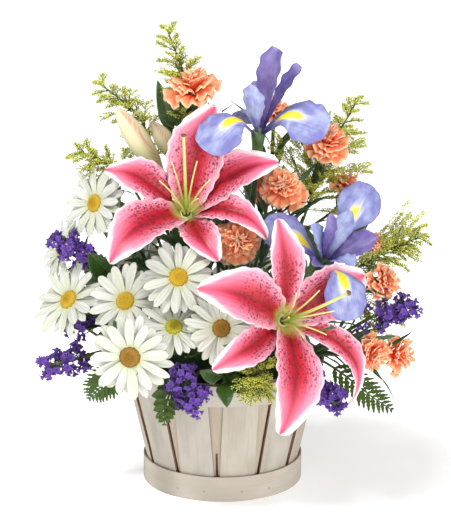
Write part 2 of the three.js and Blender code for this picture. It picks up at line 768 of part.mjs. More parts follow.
// A fern frond: leaflets cut almost to the rib, and shorter towards the tip.
const RIB_HALF_WIDTH = 1.5;

function frond(name, { at, bow, pairs, size, face }) {
  const line = layStem(V(...at), V(...bow).normalize().negate(), 1.2, 6);
  const rib = line.slice(-4);
  const stem = line.slice(0, -3);
  rib[0] = rib[0].clone().addScaledVector(rib[1].clone().sub(rib[0]).normalize(), -3);
  const look = V(...face).normalize();
  const points = [];
  const faces = [];
  for (let k = 0; k <= pairs; k++) {
    const share = k / pairs;
    const ahead = along(rib, share + 0.05).sub(along(rib, share - 0.05)).normalize();
    const side = ahead.clone().cross(look).normalize();
    const reach = size * Math.sin(Math.PI * mix(0.36, 0.95, share));
    for (const way of [-1, 1]) {
      const root = along(rib, share).addScaledVector(side, way * RIB_HALF_WIDTH);
      const tip = along(rib, share).addScaledVector(side, way * reach).addScaledVector(ahead, reach * 0.8);
      points.push(root, tip);
    }
  }
  for (let k = 0; k < pairs; k++) {
    const [left, leftTip, right, rightTip] = [0, 1, 2, 3].map((i) => k * 4 + i);
    faces.push([left, left + 4, right + 4], [left, right + 4, right]);
    faces.push([left, leftTip, left + 4], [right, right + 4, rightTip]);
  }
  plant(name, GREEN, [limb(stem, stem.map(() => 1.3)), thicken(points, faces, 0.8)], []);
}

// Lily buds: long, three-sided and blunt, two on one stem.
function budStem(name, buds) {
  const pieces = [];
  const [first, ...others] = buds;
  const way = (bud) => V(...bud.tip).sub(V(...bud.foot)).normalize();
  const line = layStem(V(...first.foot), way(first).negate(), 2.6);
  pieces.push(limb(line, line.map(() => 2.6)));
  for (const bud of others) {
    const fork = along(line, 0.72);
    pieces.push(limb([fork, V(...bud.foot).addScaledVector(way(bud), -14), V(...bud.foot)], [2, 2, 2.2]));
  }
  for (const bud of buds) {
    const foot = V(...bud.foot);
    const tip = V(...bud.tip);
    const shares = [-0.03, 0.12, 0.35, 0.62, 0.86, 1];
    const radii = [2.6, 6.5, 10.5, 11, 6.5, 1.4].map((r) => r * bud.girth);
    const points = shares.map((share) => foot.clone().lerp(tip, share));
    keep(points, 10 * bud.girth);
    pieces.push(limb(points, radii, 5));
  }
  plant(name, BUD, pieces, []);
}

// The arrangement. Places are in millimetres, and each bloom faces along its own direction.

const LILIES = {
  lily_upper: {
    at: [-33, -42, 266],
    facing: [0, -0.72, 0.69],
    sweep: 92,
    tepals: [
      { around: 76, widest: 54, length: 0.88, first: 26, last: 96, veer: -4 },
      { around: 149, widest: 37, length: 0.72, first: 38, last: 114, veer: 8 },
      { around: 218, widest: 46, length: 0.9, first: 34, last: 124, veer: 8 },
      { around: 287, widest: 34, length: 0.62, first: 40, last: 108, veer: 8 },
      { around: 346, widest: 28, length: 0.78, first: 34, last: 120, veer: -16 },
      { around: 28, widest: 42, length: 0.84, first: 36, last: 104, veer: -8 },
    ],
  },
  lily_lower: {
    at: [54, -95, 180],
    facing: [0.4, -0.85, 0.35],
    sweep: 30,
    tepals: [
      { around: 153, widest: 50, length: 1, first: 36, last: 104, veer: 8 },
      { around: 202, widest: 32, length: 0.84, first: 44, last: 110, veer: 0 },
      { around: 256, widest: 46, length: 1, first: 34, last: 122, veer: -6 },
      { around: 334, widest: 25, length: 0.94, first: 46, last: 156, veer: -30 },
      { around: 26, widest: 50, length: 0.7, first: 54, last: 96, veer: -4 },
      { around: 96, widest: 35, length: 0.82, first: 38, last: 100, veer: 0 },
    ],
  },
};

const IRISES = {
  iris_upper: {
    at: [33, -25, 339],
    facing: [0.05, -0.35, 0.93],
    falls: [
      { around: 212, haft: 0.36, first: 40, last: 118, length: 76, twist: -30 },
      { around: 330, haft: 0.36, first: 35, last: 94, length: 74, twist: 60 },
      { around: 92, haft: 0.36, first: 70, last: 150, length: 62 },
    ],
    standards: [
      { around: 30, first: 4, last: 20, length: 82, wide: 30, tip: 15 },
      { around: 12, first: 20, last: 40, length: 72, wide: 12, tip: 7, twist: 40 },
      { around: 344, first: 46, last: 110, length: 46, wide: 16, tip: 6 },
    ],
    styles: [
      { around: 226, first: 26, last: -14, length: 58, wide: 25 },
      { around: 350, first: 50, last: 56, length: 44, wide: 20 },
      { around: 96, first: 24, last: 34, length: 46, wide: 17 },
    ],
  },
  iris_lower: {
    at: [92, -62, 226],
    facing: [0.22, -0.72, 0.62],
    falls: [
      { around: 148, haft: 0.36, first: 45, last: 92, length: 68 },
      { around: 50, haft: 0.44, first: 46, last: 84, length: 82 },
      { around: 274, haft: 0.42, first: 34, last: 112, length: 80 },
    ],
    standards: [
      { around: 106, first: 10, last: 30, length: 60, wide: 14 },
      { around: 4, first: 34, last: 60, length: 54, wide: 24 },
      { around: 216, first: 30, last: 50, length: 44, wide: 14 },
    ],
    styles: [
      { around: 148, first: 20, last: 40, length: 56, wide: 19 },
      { around: 56, first: 30, last: 40, length: 56, wide: 19 },
      { around: 288, first: 18, last: 50, length: 56, wide: 19 },
    ],
  },
};

const CARNATIONS = {
  carnation_top_left: { at: [-26, -10, 376], facing: [-0.08, -0.42, 0.9], radius: 28 },
  carnation_top_right: {
    at: [95, -12, 325],
    facing: [0.2, -0.6, 0.78],
    radius: 25,
    side: { at: [115, 16, 278], facing: [0.4, -0.3, 0.87], radius: 20, fork: 0.55 },
  },
  carnation_upper_middle: { at: [56, -36, 288], facing: [0, -0.82, 0.57], radius: 23 },
  carnation_between_lilies: { at: [14, -66, 246], facing: [0.02, -0.95, 0.3], radius: 26 },
  carnation_behind_iris: { at: [48, 22, 350], facing: [0, -0.3, 0.95], radius: 20 },
  carnation_right_middle: {
    at: [148, -26, 198],
    facing: [0.8, -0.55, 0.3],
    radius: 22,
    side: { at: [140, -2, 230], facing: [0.78, -0.3, 0.55], radius: 13, fork: 0.6 },
  },
  carnation_right_low: { at: [134, -60, 142], facing: [0.55, -0.8, -0.2], radius: 22 },
  carnation_far_right: { at: [160, -24, 128], facing: [0.9, -0.42, 0.1], radius: 24 },
  carnation_back: { at: [44, 74, 262], facing: [0.3, 0.75, 0.6], radius: 26 },
};

const DAISIES = {
  daisy_upper_left: { at: [-117, -22, 272], facing: [-0.62, -0.72, 0.32], radius: 34 },
  daisy_far_left: { at: [-141, -42, 185], facing: [-0.55, -0.62, 0.56], radius: 37 },
  daisy_left_middle: { at: [-87, -80, 194], facing: [-0.25, -0.8, 0.52], radius: 35 },
  daisy_centre: { at: [-39, -102, 222], facing: [0.08, -0.86, 0.5], radius: 35 },
  daisy_front: { at: [-81, -132, 158], facing: [-0.12, -0.99, 0.08], radius: 38 },
  daisy_front_green: { at: [-43, -110, 178], facing: [0, -0.72, 0.7], radius: 31 },
  daisy_front_right: { at: [-1, -118, 180], facing: [0.1, -0.95, 0.25], radius: 33 },
  daisy_behind_left: { at: [-150, 4, 222], facing: [-0.82, -0.3, 0.45], radius: 33 },
  daisy_back_left: { at: [-84, 92, 186], facing: [-0.5, 0.82, 0.3], radius: 36 },
  daisy_back_right: { at: [18, 112, 190], facing: [0.15, 0.92, 0.35], radius: 37 },
};

const STATICES = {
  statice_left: { at: [-148, -36, 244], facing: [-0.6, -0.5, 0.4], spread: 17, florets: 7 },
  statice_low_left: {
    at: [-160, -50, 124],
    facing: [-0.9, -0.3, -0.1],
    spread: 16,
    florets: 6,
    side: [-138, -24, 160],
  },
  statice_front: { at: [-32, -120, 117], facing: [-0.1, -0.85, -0.5], spread: 21, florets: 7 },
  statice_right: { at: [172, -34, 178], facing: [0.9, -0.2, 0.2], spread: 16, florets: 7 },
  statice_low_right: { at: [100, -94, 104], facing: [0.5, -0.7, -0.4], spread: 17, florets: 8 },
  statice_middle: { at: [10, -40, 266], facing: [0.1, -0.5, 0.8], spread: 14, florets: 6 },
};

const GOLDENRODS = {
  goldenrod_top: { at: [-50, 2, 428], bow: [-0.5, 0, 0.85], sprigs: 7, length: 100 },
  goldenrod_upper_left: { at: [-112, 8, 378], bow: [-0.9, 0, 0.3], sprigs: 7, length: 100 },
  goldenrod_left: { at: [-132, -8, 318], bow: [-0.98, -0.1, 0.05], sprigs: 6, length: 60 },
  goldenrod_upper_right: { at: [124, 6, 362], bow: [0.55, 0, 0.8], sprigs: 8, length: 130 },
  goldenrod_right: { at: [186, 4, 234], bow: [0.95, 0, 0.25], sprigs: 8, length: 100 },
  goldenrod_front: { at: [30, -121, 128], bow: [0.1, -0.8, -0.6], sprigs: 6, length: 46 },
};

const FRONDS = {
  fern_low_left: { at: [-120, -96, 108], bow: [-0.6, -0.4, -0.65], face: [-0.2, -0.7, 0.7], pairs: 7, size: 20 },
  fern_front: { at: [-52, -118, 91], bow: [0.1, -0.3, -0.95], face: [-0.2, -0.95, 0.1], pairs: 7, size: 16 },
  fern_low_right: { at: [156, -62, 86], bow: [0.8, -0.2, -0.4], face: [0.2, -0.6, 0.8], pairs: 7, size: 20 },
  fern_back: { at: [-64, 132, 112], bow: [-0.4, 0.8, -0.4], face: [-0.3, 0.6, 0.8], pairs: 7, size: 26 },
};

const LEAFY = {
  leaves_left: { at: [-104, -24, 204], bow: [-0.7, -0.2, 0.3], face: [-0.3, -0.8, 0.5], leaves: 4, size: 48 },
  leaves_right: { at: [112, -2, 236], bow: [0.4, -0.1, 0.8], face: [0.2, -0.9, 0.2], leaves: 4, size: 54 },
  leaves_top: { at: [-34, 22, 346], bow: [-0.1, 0.1, 0.99], face: [0, -0.9, 0.2], leaves: 4, size: 48 },
  leaves_front: { at: [2, -108, 126], bow: [0.1, -0.6, -0.75], face: [0, -0.9, 0.3], leaves: 4, size: 33 },
  leaves_back: { at: [-6, 110, 130], bow: [-0.1, 0.9, -0.1], face: [0, 0.8, 0.6], leaves: 4, size: 54 },
};

const BUDS = [
  { foot: [-56, -14, 296], tip: [-97, -24, 362], girth: 1 },
  { foot: [-40, 2, 306], tip: [-66, 4, 344], girth: 0.85 },
];

for (const [table, ahead, radius] of [[LILIES, 8, 24], [IRISES, 6, 15], [CARNATIONS, 4, 13], [DAISIES, 4, 13]])
  for (const { at, facing } of Object.values(table))
    heads.push({ at: V(...at).addScaledVector(V(...facing).normalize(), ahead), radius });

let seed = 1;
const grow = (kind, table) => Object.entries(table).forEach(([name, spec]) => kind(name, { seed: seed++, ...spec }));
grow(iris, IRISES);
grow(lily, LILIES);
budStem("lily_buds", BUDS);
grow(daisy, DAISIES);
grow(carnation, CARNATIONS);
grow(leafyStem, LEAFY);
grow(statice, STATICES);
grow(goldenrod, GOLDENRODS);
grow(frond, FRONDS);

// The basket's pieces and the plants become meshes. Petals give way to stems and to the blooms before them.

const root = new THREE.Group();
const add = (name, body, look) => root.add(meshOf(name, body, look));

const basket = [];
for (let k = 0; k < STRIP_COUNT; k++) basket.push([`wood_strip_${k + 1}`, solid(strip(k))]);
basket.push(["inner_veneer", innerVeneer()]);
const rimFoot = RIM_HEIGHT - RIM_HOOP_WIDTH;
const thinHoop = (low, high, offset) => solid(hoop(low, high, offset, HOOP_THICKNESS));
basket.push(["base_hoop", thinHoop(0, KNEE_HEIGHT, outsideStrips)]);
basket.push(["rim_hoop_outer", thinHoop(rimFoot, RIM_HEIGHT, outsideStrips)]);
basket.push(["rim_hoop_inner", thinHoop(rimFoot + 2, RIM_HEIGHT, innerHoopOffset)]);
const baseRadius = STAVE_RADIUS - STRIP_THICKNESS / 2 - CLEARANCE;
const baseTop = floorTop + BASE_THICKNESS;
const base = turned([[0, floorTop], [baseRadius, floorTop], [baseRadius, baseTop], [0, baseTop]], TURNED_SEGMENTS);
basket.push(["base_disc", solid(base)]);
basket.forEach(([name, body]) => add(name, body, WOOD));
add("liner", solid(liner()), LINER);

const firmShells = plants.map(({ firm }) => shellOf(firm, STEM_GAP));
const rimShell = shellOf([hoop(rimFoot, RIM_HEIGHT, 0, 7)], PETAL_GAP);
const foamShell = shellOf([foam()], PETAL_GAP);

let block = solid(foam());
for (const shell of firmShells) if (touching(block, shell)) block = block.subtract(shell);
add("wet_foam", largest(block), FOAM);

// A small repeat, such as a leaf or a floret, is turned until it is free of its neighbours, or else left out.
const TRIES = 10;
function freePiece(make, obstacles) {
  for (let attempt = 0; attempt < TRIES; attempt++) {
    const piece = make(attempt);
    const room = solid(grown(piece, PETAL_GAP));
    if (obstacles.every((o) => !touching(o, room) || o.intersect(room).isEmpty())) return piece;
  }
  return null;
}

const softShells = [];
plants.forEach(({ name, look, firm, soft }, mine) => {
  const obstacles = [rimShell, foamShell, ...softShells, ...firmShells.filter((_, other) => other !== mine)];
  const petals = soft.filter((piece) => typeof piece !== "function");
  const repeats = soft.filter((piece) => typeof piece === "function");
  const kept = [...petals, ...repeats.map((make) => freePiece(make, obstacles)).filter((piece) => piece)];
  let body = fused(firm);
  if (kept.length) {
    let crown = fused(kept);
    if (petals.length) for (const o of obstacles) if (touching(crown, o)) crown = crown.subtract(o);
    body = body.add(crown);
    softShells.push(shellOf(kept, PETAL_GAP));
  }
  add(name, largest(body), look);
});

export default root;
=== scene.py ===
"""Flower basket arrangement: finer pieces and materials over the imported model.

Lengths are in millimetres until a mesh is made, and +Z is up. The front of the arrangement faces -Y.
"""

import itertools
import math
import random

import bpy
import numpy as np
from mathutils import Matrix, Vector


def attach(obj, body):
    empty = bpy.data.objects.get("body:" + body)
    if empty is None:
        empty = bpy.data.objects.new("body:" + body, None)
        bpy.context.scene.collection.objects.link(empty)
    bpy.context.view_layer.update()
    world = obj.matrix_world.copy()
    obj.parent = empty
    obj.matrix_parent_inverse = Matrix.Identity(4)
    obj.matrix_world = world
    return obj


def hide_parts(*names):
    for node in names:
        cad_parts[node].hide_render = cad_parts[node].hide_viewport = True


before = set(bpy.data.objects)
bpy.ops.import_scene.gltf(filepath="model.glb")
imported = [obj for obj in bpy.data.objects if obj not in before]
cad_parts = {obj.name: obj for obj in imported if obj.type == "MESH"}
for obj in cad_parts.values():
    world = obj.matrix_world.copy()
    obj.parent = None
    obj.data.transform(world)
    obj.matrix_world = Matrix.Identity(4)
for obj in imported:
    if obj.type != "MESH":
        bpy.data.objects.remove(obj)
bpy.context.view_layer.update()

MM = 0.001
TURN = 2 * math.pi
UP = Vector((0, 0, 1))

# The basket, as in the CAD.
STAVE_RADIUS = 73
KNEE_HEIGHT = 24
FLARE = 0.222
RIM_HEIGHT = 119
STRIP_WIDTH = 33
STRIP_THICKNESS = 1
STRIP_STEP = 1.4
STRIP_COUNT = 6
FRONT_GAP_TURN = -4
HOOP_THICKNESS = 1.6
RIM_HOOP_WIDTH = 21
CLEARANCE = 0.4
SLIT_WIDTH = 2.1
HOOP_SAG = 0.62
TONGUE_SAG = 0.9

# The foam that the stems stand in, as in the CAD.
FOAM_CENTRE = Vector((0, 0, 88))
FOAM_RADIUS = 62
STEM_DEPTH_RADIUS = 35
LOWEST_STEM = 24


# Small sums.


def mix(a, b, t):
    return a + (b - a) * t


def radians(degrees):
    return degrees * math.pi / 180


def unit(values):
    return Vector(values).normalized()


def turned_about(vector, axis, angle):
    return Matrix.Rotation(angle, 3, axis) @ vector


def along(line, share):
    """The point at a share of the way along a line of points."""
    place = min(max(share, 0), 1) * (len(line) - 1)
    i = min(int(place), len(line) - 2)
    return line[i].lerp(line[i + 1], place - i)


def heading(line, share, reach=0.05):
    return (along(line, share + reach) - along(line, share - reach)).normalized()


def cubic(a, b, c, d, t):
    u = 1 - t
    return a * (u * u * u) + b * (3 * u * u * t) + c * (3 * u * t * t) + d * (t * t * t)


def outline(root, widest, place, tip, full=False):
    """Width along a petal or leaf: root, widest place, tip. A full one widens at once and ends blunter."""

    def width(t):
        grown = np.minimum(t / place, 1)
        before = np.sin(grown * math.pi / 2) if full else (1 - np.cos(grown * math.pi)) / 2
        beyond = np.clip((t - place) / (1 - place), 0, 1)
        after = np.maximum(0, np.cos(beyond * math.pi / 2)) ** (0.4 if full else 0.8)
        return np.where(t < place, mix(root, widest, before), mix(tip, widest, after))

    return width


def beside(ahead, angle):
    """A way square to another, turned about it by an angle."""
    return turned_about(ahead.cross(UP).normalized(), ahead, angle)


def frame_of(at, facing, roll=0):
    """A bloom's own axes: +Z is the way it faces, +X is to the viewer's right and +Y is upward."""
    z = unit(facing)
    up = Vector((0, 1, 0)) if abs(z.z) > 0.985 else UP
    y = (up - z * up.dot(z)).normalized()
    x = y.cross(z)
    axes = Matrix((x, y, z)).transposed() @ Matrix.Rotation(radians(roll), 3, "Z")
    return Matrix.Translation(at) @ axes.to_4x4()


# Meshes. Each point keeps where it lies on its petal or leaf, which the materials read.


def petal_grid(rows, cols):
    """The share along and the share across, from -1 to 1, of each point of a grid."""
    return np.meshgrid(np.linspace(0, 1, rows + 1), np.linspace(-1, 1, cols + 1), indexing="ij")


def round_points(radius, turn, height):
    return np.stack([radius * np.cos(turn), radius * np.sin(turn), height], axis=2)


def twice(values):
    return np.concatenate([values, values])


def normals(points, loop=False):
    """Unit normals of a grid of points. A loop closes on itself along its rows."""
    ahead = np.roll(points, -1, axis=0) - np.roll(points, 1, axis=0) if loop else np.gradient(points, axis=0)
    normal = np.cross(ahead, np.gradient(points, axis=1))
    return normal / np.maximum(np.linalg.norm(normal, axis=2, keepdims=True), 1e-9)


def board_faces(rows, cols, loop=False):
    """The faces of a grid's front and of its back, whose points follow the front's."""
    back = (rows + 1) * (cols + 1)
    faces = []
    for i in range(rows + 1 if loop else rows):
        for j in range(cols):
            a = i * (cols + 1) + j
            b = (i + 1) % (rows + 1) * (cols + 1) + j
            faces.append((a, b, b + 1, a + 1))
            faces.append((a + back, a + 1 + back, b + 1 + back, b + back))
    return faces


def borders(rows, cols, loop=False):
    """The points along a grid's free edges, one closed list for each edge."""
    index = np.arange((rows + 1) * (cols + 1)).reshape(rows + 1, cols + 1)
    if loop:
        return [index[::-1, 0].tolist(), index[:, -1].tolist()]
    return [np.concatenate([index[0], index[1:, -1], index[-1, -2::-1], index[-2:0:-1, 0]]).tolist()]


def ring_faces(rings, sides):
    """The faces between rings of points that follow each other."""
    faces = []
    for i in range(rings - 1):
        for k in range(sides):
            a, b = i * sides + k, i * sides + (k + 1) % sides
            faces.append((a, b, b + sides, a + sides))
    return faces


def drop_faces(rings, sides):
    """As ring_faces, with a flat face on the first ring and a last point that closes the last ring."""
    top = (rings - 1) * sides
    fan = [(top + k, top + (k + 1) % sides, top + sides) for k in range(sides)]
    return ring_faces(rings, sides) + fan + [tuple(range(sides - 1, -1, -1))]


class Shape:
    """The points and faces of one piece, with the places that its materials read.

    place is (share along, share across from -1 to 1, a tone of its own from 0 to 1).
    spot is (millimetres along, millimetres across, 1 on the front or 0 on the back or a raw edge).
    """

    def __init__(self):
        self.points, self.place, self.spot = [], [], []
        self.faces, self.looks = [], []
        self.count = 0

    def add(self, points, faces, look, place, spot, axes=None):
        points = np.asarray(points, float).reshape(-1, 3)
        if axes is not None:
            matrix = np.array(axes)
            points = points @ matrix[:3, :3].T + matrix[:3, 3]
        self.points.append(points)
        self.place.append(np.asarray(place, float).reshape(-1, 3))
        self.spot.append(np.asarray(spot, float).reshape(-1, 3))
        self.faces.extend(tuple(k + self.count for k in face) for face in faces)
        self.looks.extend([look] * len(faces))
        self.count += len(points)

    def sheet(self, points, thickness, look, tone, length, width, axes=None, shares=None):
        """A grid of points as a thin closed blade. thickness and width may differ from point to point."""
        rows, cols = points.shape[0] - 1, points.shape[1] - 1
        t, s = petal_grid(rows, cols)
        half = normals(points) * np.broadcast_to(np.asarray(thickness) / 2, t.shape)[..., None]
        place = np.stack([t if shares is None else shares, s, np.full_like(t, tone)], axis=2)
        front = np.stack([t * length, s * width / 2, np.ones_like(t)], axis=2)
        faces = board_faces(rows, cols)
        edge = borders(rows, cols)[0]
        for a, b in zip(edge, edge[1:] + edge[:1]):
            faces.append((a, b, b + t.size, a + t.size))
        self.add([points + half, points - half], faces, look, twice(place), [front, front * (1, 1, 0)], axes)

    def tube(self, points, radii, look, sides=8, tone=0.5, axes=None, lobes=0, groove=0.0):
        """A closed limb of rings round a line of points. lobes and groove make it ribbed."""
        points = [Vector(p) for p in points]
        radii = np.broadcast_to(np.asarray(radii, float), len(points)).tolist()
        across = None
        rings, places, spots = [], [], []
        run = 0
        for i, p in enumerate(points):
            ahead = (points[min(i + 1, len(points) - 1)] - points[max(i - 1, 0)]).normalized()
            if across is None:
                across = UP if abs(ahead.z) < 0.9 else Vector((1, 0, 0))
            across = (across - ahead * across.dot(ahead)).normalized()
            third = ahead.cross(across)
            run += (p - points[i - 1]).length if i else 0
            for k in range(sides):
                turn = k / sides * TURN
                radius = radii[i] * (1 + groove * math.cos(lobes * turn))
                rings.append(p + across * (radius * math.cos(turn)) + third * (radius * math.sin(turn)))
                places.append((i / (len(points) - 1), 2 * k / sides - 1, tone))
                spots.append((run, radii[i] * turn, 1))
        last = (len(points) - 1) * sides
        ends = [tuple(range(sides - 1, -1, -1)), tuple(range(last, last + sides))]
        self.add(rings, ring_faces(len(points), sides) + ends, look, places, spots, axes)

    def turned(self, profile, look, sides, tone, axes, size=1, **ribs):
        """A closed round form about the axes' Z, from (height, radius) pairs."""
        points = [(0, 0, height * size) for height, _ in profile]
        self.tube(points, [radius * size for _, radius in profile], look, sides, tone, axes, **ribs)

    def bowl(self, profile, look, sides, tone, axes):
        """An open round surface about the axes' Z, from (radius, height) pairs."""
        rings, places, spots = [], [], []
        for i, (radius, height) in enumerate(profile):
            for k in range(sides):
                turn = k / sides * TURN
                rings.append((radius * math.cos(turn), radius * math.sin(turn), height))
                places.append((i / (len(profile) - 1), 2 * k / sides - 1, tone))
                spots.append((height, radius * turn, 1))
        self.add(rings, ring_faces(len(profile), sides), look, places, spots, axes)


def smooth_line(points, per_run=6):
    """A rounded line through the points, which keeps its ends."""
    if len(points) < 3:
        return [points[0].lerp(points[-1], k / per_run) for k in range(per_run + 1)]
    made = []
    for i in range(len(points) - 1):
        a = points[max(i - 1, 0)]
        b, c = points[i], points[i + 1]
        d = points[min(i + 2, len(points) - 1)]
        for k in range(per_run):
            t = k / per_run
            bend = (a * 2 - b * 5 + c * 4 - d) * (t * t) + (b * 3 - a - c * 3 + d) * (t * t * t)
            made.append((b * 2 + (c - a) * t + bend) * 0.5)
    made.append(points[-1].copy())
    return made


def finish_piece(name, shape, looks, slot, *nodes):
    """Makes the piece's object, which rides on the body and stands for its CAD nodes."""
    data = bpy.data.meshes.new(name)
    data.from_pydata((np.concatenate(shape.points) * MM).tolist(), [], shape.faces)
    for look in looks.split():
        data.materials.append(LOOKS[look])
    data.polygons.foreach_set("material_index", np.array(shape.looks, dtype=np.int32))
    data.polygons.foreach_set("use_smooth", np.full(len(shape.faces), True))
    for key, values in (("place", shape.place), ("spot", shape.spot)):
        made = data.attributes.new(key, "FLOAT_VECTOR", "POINT")
        made.data.foreach_set("vector", np.concatenate(values).ravel())
    data.update()
    piece = bpy.data.objects.new(name, data)
    bpy.context.scene.collection.objects.link(piece)
    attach(piece, "root")
    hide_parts(*nodes)


# Materials. Colours are given as they show on a screen, and turned to linear light here.


def colour(red, green, blue):
    def linear(value):
        value /= 255
        return value / 12.92 if value <= 0.04045 else ((value + 0.055) / 1.055) ** 2.4

    return (linear(red), linear(green), linear(blue), 1)


class Look:
    """A material under construction: short ways to add nodes, and the colour painted so far.

    t, s and tone are a point's place, and run, aside and front its spot, as Shape keeps them.
    """

    def __init__(self, name, roughness, soft=0.0, soft_colour=(1, 1, 1), sheen=0.0, coat=0.0):
        self.material = bpy.data.materials.new(name)
        self.material.use_nodes = True
        self.tree = self.material.node_tree
        self.shader = self.tree.nodes["Principled BSDF"]
        values = {"Roughness": roughness, "Sheen Weight": sheen, "Coat Weight": coat}
        if soft:
            values |= {"Subsurface Weight": soft, "Subsurface Scale": 3 * MM}
            values["Subsurface Radius"] = soft_colour
        for key, value in values.items():
            self.shader.inputs[key].default_value = value
        self.t, self.s, self.tone = self.split(self.read("place"))
        self.run, self.aside, self.front = self.split(self.read("spot"))
        self.painted = None

    def make(self, kind, inputs=None, **settings):
        made = self.tree.nodes.new(kind)
        for key, value in settings.items():
            setattr(made, key, value)
        for key, value in (inputs or {}).items():
            if isinstance(value, bpy.types.NodeSocket):
                self.tree.links.new(value, made.inputs[key])
            else:
                made.inputs[key].default_value = value
        return made

    def read(self, name):
        return self.make("ShaderNodeAttribute", attribute_name=name).outputs["Vector"]

    def split(self, vector):
        return list(self.make("ShaderNodeSeparateXYZ", {"Vector": vector}).outputs)

    def join(self, x, y, z):
        return self.make("ShaderNodeCombineXYZ", {"X": x, "Y": y, "Z": z}).outputs[0]

    def calc(self, kind, a, b=0.0):
        return self.make("ShaderNodeMath", {0: a, 1: b}, operation=kind).outputs[0]

    def plus(self, a, b):
        return self.calc("ADD", a, b)

    def less(self, a, b):
        return self.calc("SUBTRACT", a, b)

    def times(self, a, b):
        return self.calc("MULTIPLY", a, b)

    def step(self, value, low, high, start=0.0, end=1.0):
        """Goes smoothly from start to end while value goes from low to high."""
        inputs = {"Value": value, "From Min": low, "From Max": high, "To Min": start, "To Max": end}
        return self.make("ShaderNodeMapRange", inputs, interpolation_type="SMOOTHSTEP").outputs[0]

    def blend(self, share, a, b):
        inputs = {0: share, 6: a, 7: b}
        return self.make("ShaderNodeMix", inputs, data_type="RGBA", blend_type="MIX").outputs[2]

    def stretched(self, along_it, across_it, own):
        """The spot in millimetres, scaled apart along and across, and set apart by the petal's own tone."""
        tone = self.times(self.tone, 37.0 * own)
        return self.join(self.times(self.run, along_it), self.times(self.aside, across_it), tone)

    def noise(self, vector, scale, detail, distortion=0.0):
        inputs = {"Vector": vector, "Scale": scale, "Detail": detail, "Distortion": distortion}
        return self.make("ShaderNodeTexNoise", inputs).outputs["Fac"]

    def streaks(self, along_it, across_it, detail, own=1.0, distortion=0.0):
        """Noise fixed to the petal. The first two are in marks a millimetre."""
        return self.noise(self.stretched(along_it, across_it, own), 1.0, detail, distortion)

    def body_noise(self, scale, detail=3.0):
        """Noise fixed to the object itself. scale is in marks a metre."""
        return self.noise(self.make("ShaderNodeTexCoord").outputs["Object"], scale, detail)

    def dots(self, along_it, across_it, own, size, spread):
        inputs = {"Vector": self.stretched(along_it, across_it, own), "Scale": 1.0, "Randomness": spread}
        far = self.make("ShaderNodeTexVoronoi", inputs).outputs["Distance"]
        return self.step(far, size * 0.75, size, 1.0, 0.0)

    def bump(self, height, depth, strength):
        made = self.make("ShaderNodeBump", {"Height": height, "Distance": depth * MM, "Strength": strength})
        self.tree.links.new(made.outputs[0], self.shader.inputs["Normal"])

    def shade(self, share, low, high):
        """The first coat, which goes from one colour to another."""
        self.painted = self.blend(share, colour(*low), colour(*high))

    def over(self, share, red, green, blue):
        """A share of one more colour over those painted so far."""
        self.painted = self.blend(share, self.painted, colour(red, green, blue))

    def behind(self, share, low, high):
        """Another coat for a petal's back or a board's raw edge."""
        self.painted = self.blend(self.front, self.blend(share, colour(*low), colour(*high)), self.painted)

    def done(self):
        self.tree.links.new(self.painted, self.shader.inputs["Base Color"])
        return self.material


def tepal_look():
    """Lily tepals: a crimson midrib fading through pink to white margins, with dark spots near the throat."""
    look = Look("lily_tepal", 0.38, soft=0.25, soft_colour=(1, 0.45, 0.45))
    t = look.t
    off = look.calc("ABSOLUTE", look.s)
    edge = look.plus(off, look.times(look.less(look.streaks(0.03, 0.9, 3), 0.5), 0.36))
    look.shade(look.step(t, 0.45, 0.95), (180, 0, 32), (214, 62, 98))
    look.over(look.step(look.plus(edge, look.step(t, 0.5, 1, 0, 0.35)), 0.2, 0.86), 226, 122, 150)
    look.over(look.step(edge, 0.5, 0.95, 0, 0.8), 232, 160, 180)
    look.over(look.step(look.plus(edge, look.step(t, 0.62, 1, 0, 0.55)), 0.82, 1.16), 238, 220, 222)
    look.over(look.times(look.step(off, 0.02, 0.2, 1, 0), look.step(t, 0.6, 0.95, 0.9, 0)), 146, 0, 22)
    look.over(look.step(t, 0.03, 0.2, 0.9, 0), 206, 208, 112)
    near = look.times(look.step(t, 0.08, 0.18), look.step(t, 0.5, 0.78, 1, 0))
    near = look.times(near, look.step(off, 0.74, 0.96, 1, 0))
    spots = look.calc("MAXIMUM", look.dots(0.26, 0.38, 1, 0.4, 0.9), look.dots(0.3, 0.44, 3, 0.3, 1.0))
    spots = look.times(spots, near)
    look.over(look.times(spots, 0.85), 112, 6, 38)
    look.behind(look.step(off, 0.1, 0.9), (226, 160, 178), (240, 228, 226))
    look.bump(look.plus(look.times(look.streaks(0.02, 1.6, 1), 0.6), spots), 0.8, 0.55)
    return look.done()


def filament_look():
    look = Look("lily_filament", 0.35, soft=0.2, soft_colour=(0.8, 1, 0.4))
    mottled = look.streaks(0.2, 0.6, 2)
    look.shade(look.step(look.t, 0.0, 0.8), (176, 190, 88), (226, 226, 150))
    look.over(look.step(mottled, 0.3, 0.8), 206, 210, 120)
    look.bump(mottled, 0.3, 0.4)
    return look.done()


def pistil_look():
    look = Look("lily_pistil", 0.35)
    fine = look.streaks(0.5, 0.8, 2)
    look.shade(look.step(look.t, 0.0, 0.7), (150, 180, 70), (205, 216, 128))
    look.over(look.step(look.t, 0.9, 0.95), 104, 70, 66)
    look.over(look.step(fine, 0.4, 0.7, 0, 0.25), 120, 140, 60)
    look.bump(fine, 0.3, 0.4)
    return look.done()


